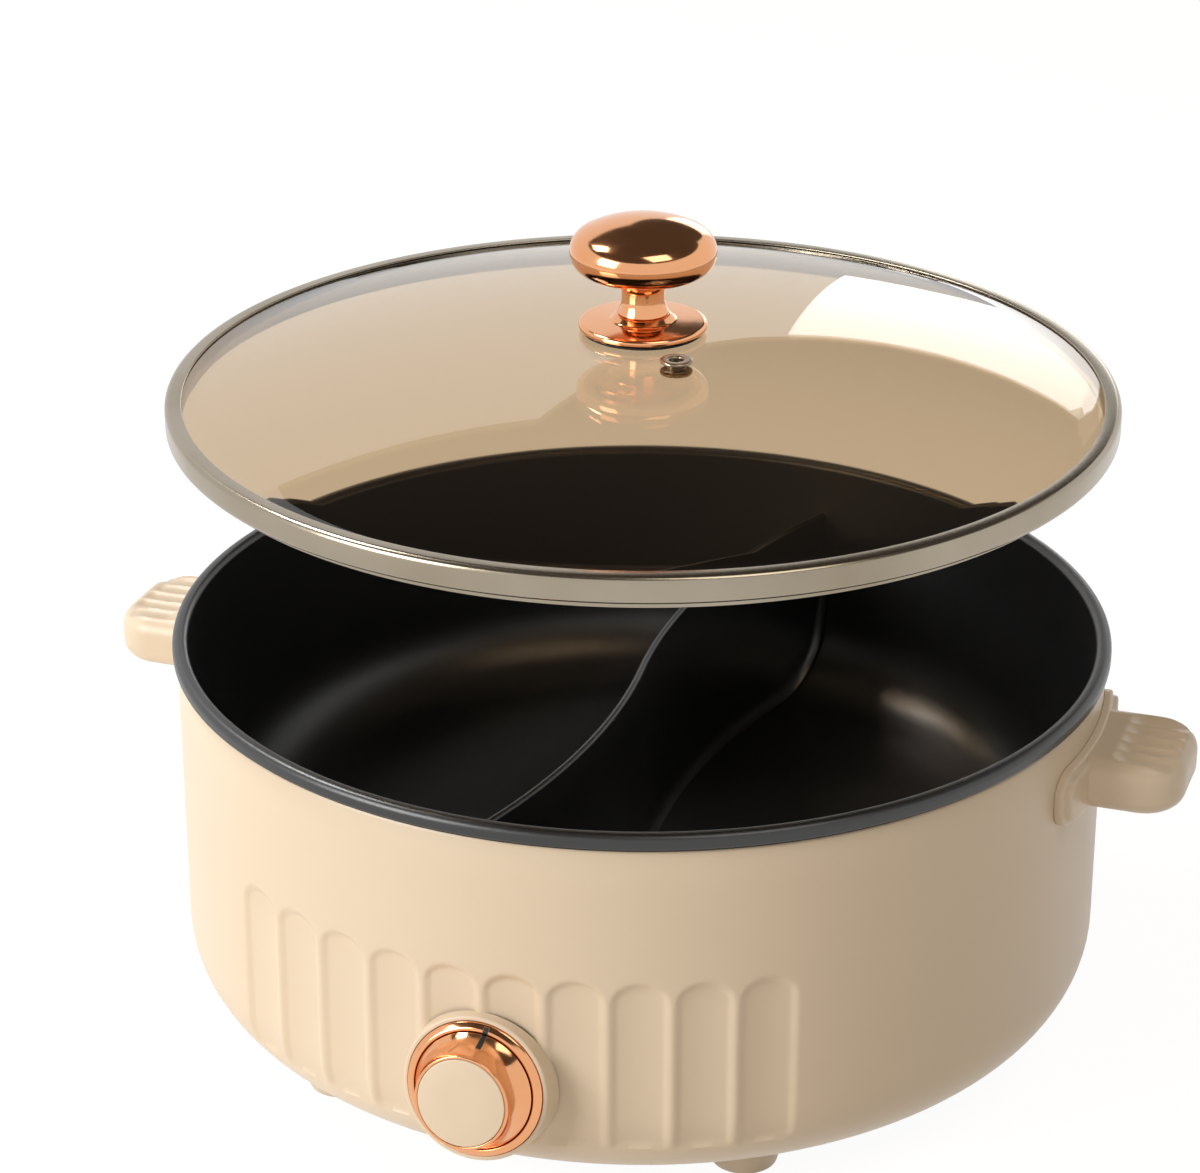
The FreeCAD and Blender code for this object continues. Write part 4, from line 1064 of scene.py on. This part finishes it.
def makeCeiling():
    radius = studio["ceilingRadius"]
    skyPatch("studio_ceiling", spaced(0, 360, studio["ceilingColumns"]), studio["ceilingRows"],
             edgeAt, lambda azimuth: studio["ceilingTop"], radius,
             glossyOnly("studioCeiling", studio["ceilingShade"], 1.0))
    azimuths = spaced(studio["cardFrom"], studio["cardTo"], studio["cardColumns"])
    skyPatch("studio_card", azimuths, studio["cardRows"], lambda azimuth: studio["cardLow"],
             lambda azimuth: edgeAt(azimuth) - studio["cardGap"], radius * studio["cardRadius"],
             glossyOnly("studioCard", studio["white"], studio["cardLevel"]))


lamps = {
    "keyLight": {"place": (-1.4, 0.85, 0.75), "target": (0, 0, 0.08), "power": 22.5,
                 "size": (0.9, 0.9), "colour": (1, 1, 1)},
    "topLight": {"place": (0.5, 0.7, 1.6), "target": (0, 0, 0.1), "power": 6.0,
                 "size": (0.8, 0.8), "colour": fromScreen(255, 250, 242)[:3]},
    "backLight": {"place": (-0.84, -0.5, 1.42), "target": (0, 0, 0.08), "power": 14.0,
                  "size": (0.5, 0.36), "colour": (1, 1, 1)},
}


def makeLamp(name, lamp):
    # A lamp's place counts to the camera's right, towards the camera and up.
    right, towards = viewAxes()
    aside, near, up = lamp["place"]
    data = bpy.data.lights.new(name, "AREA")
    data.shape = "RECTANGLE"
    data.size, data.size_y = lamp["size"]
    data.energy = lamp["power"]
    data.color = lamp["colour"]
    light = bpy.data.objects.new(name, data)
    light.location = right * aside + towards * near + Vector((0, 0, up))
    aim = Vector(lamp["target"]) - light.location
    light.rotation_euler = aim.to_track_quat("-Z", "Y").to_euler()
    bpy.context.scene.collection.objects.link(light)


def makeCamera():
    right, towards = viewAxes()
    e = math.radians(view["elevation"])
    back = towards * math.cos(e) + Vector((0, 0, math.sin(e)))
    target = right * view["aside"] + Vector((0, 0, rimZ + view["above"]))
    data = bpy.data.cameras.new("photoView")
    data.sensor_width = view["sensor"]
    data.sensor_fit = "HORIZONTAL"
    data.lens = view["lens"]
    camera = bpy.data.objects.new("photoView", data)
    camera.location = target + back * view["distance"]
    camera.rotation_euler = (-back).to_track_quat("-Z", "Y").to_euler()
    bpy.context.scene.collection.objects.link(camera)
    bpy.context.scene.camera = camera


makeFloor()
makeWorld()
makeCeiling()
for name, lamp in lamps.items():
    makeLamp(name, lamp)
makeCamera()
bpy.context.scene.view_settings.view_transform = "Standard"
print("studio made")
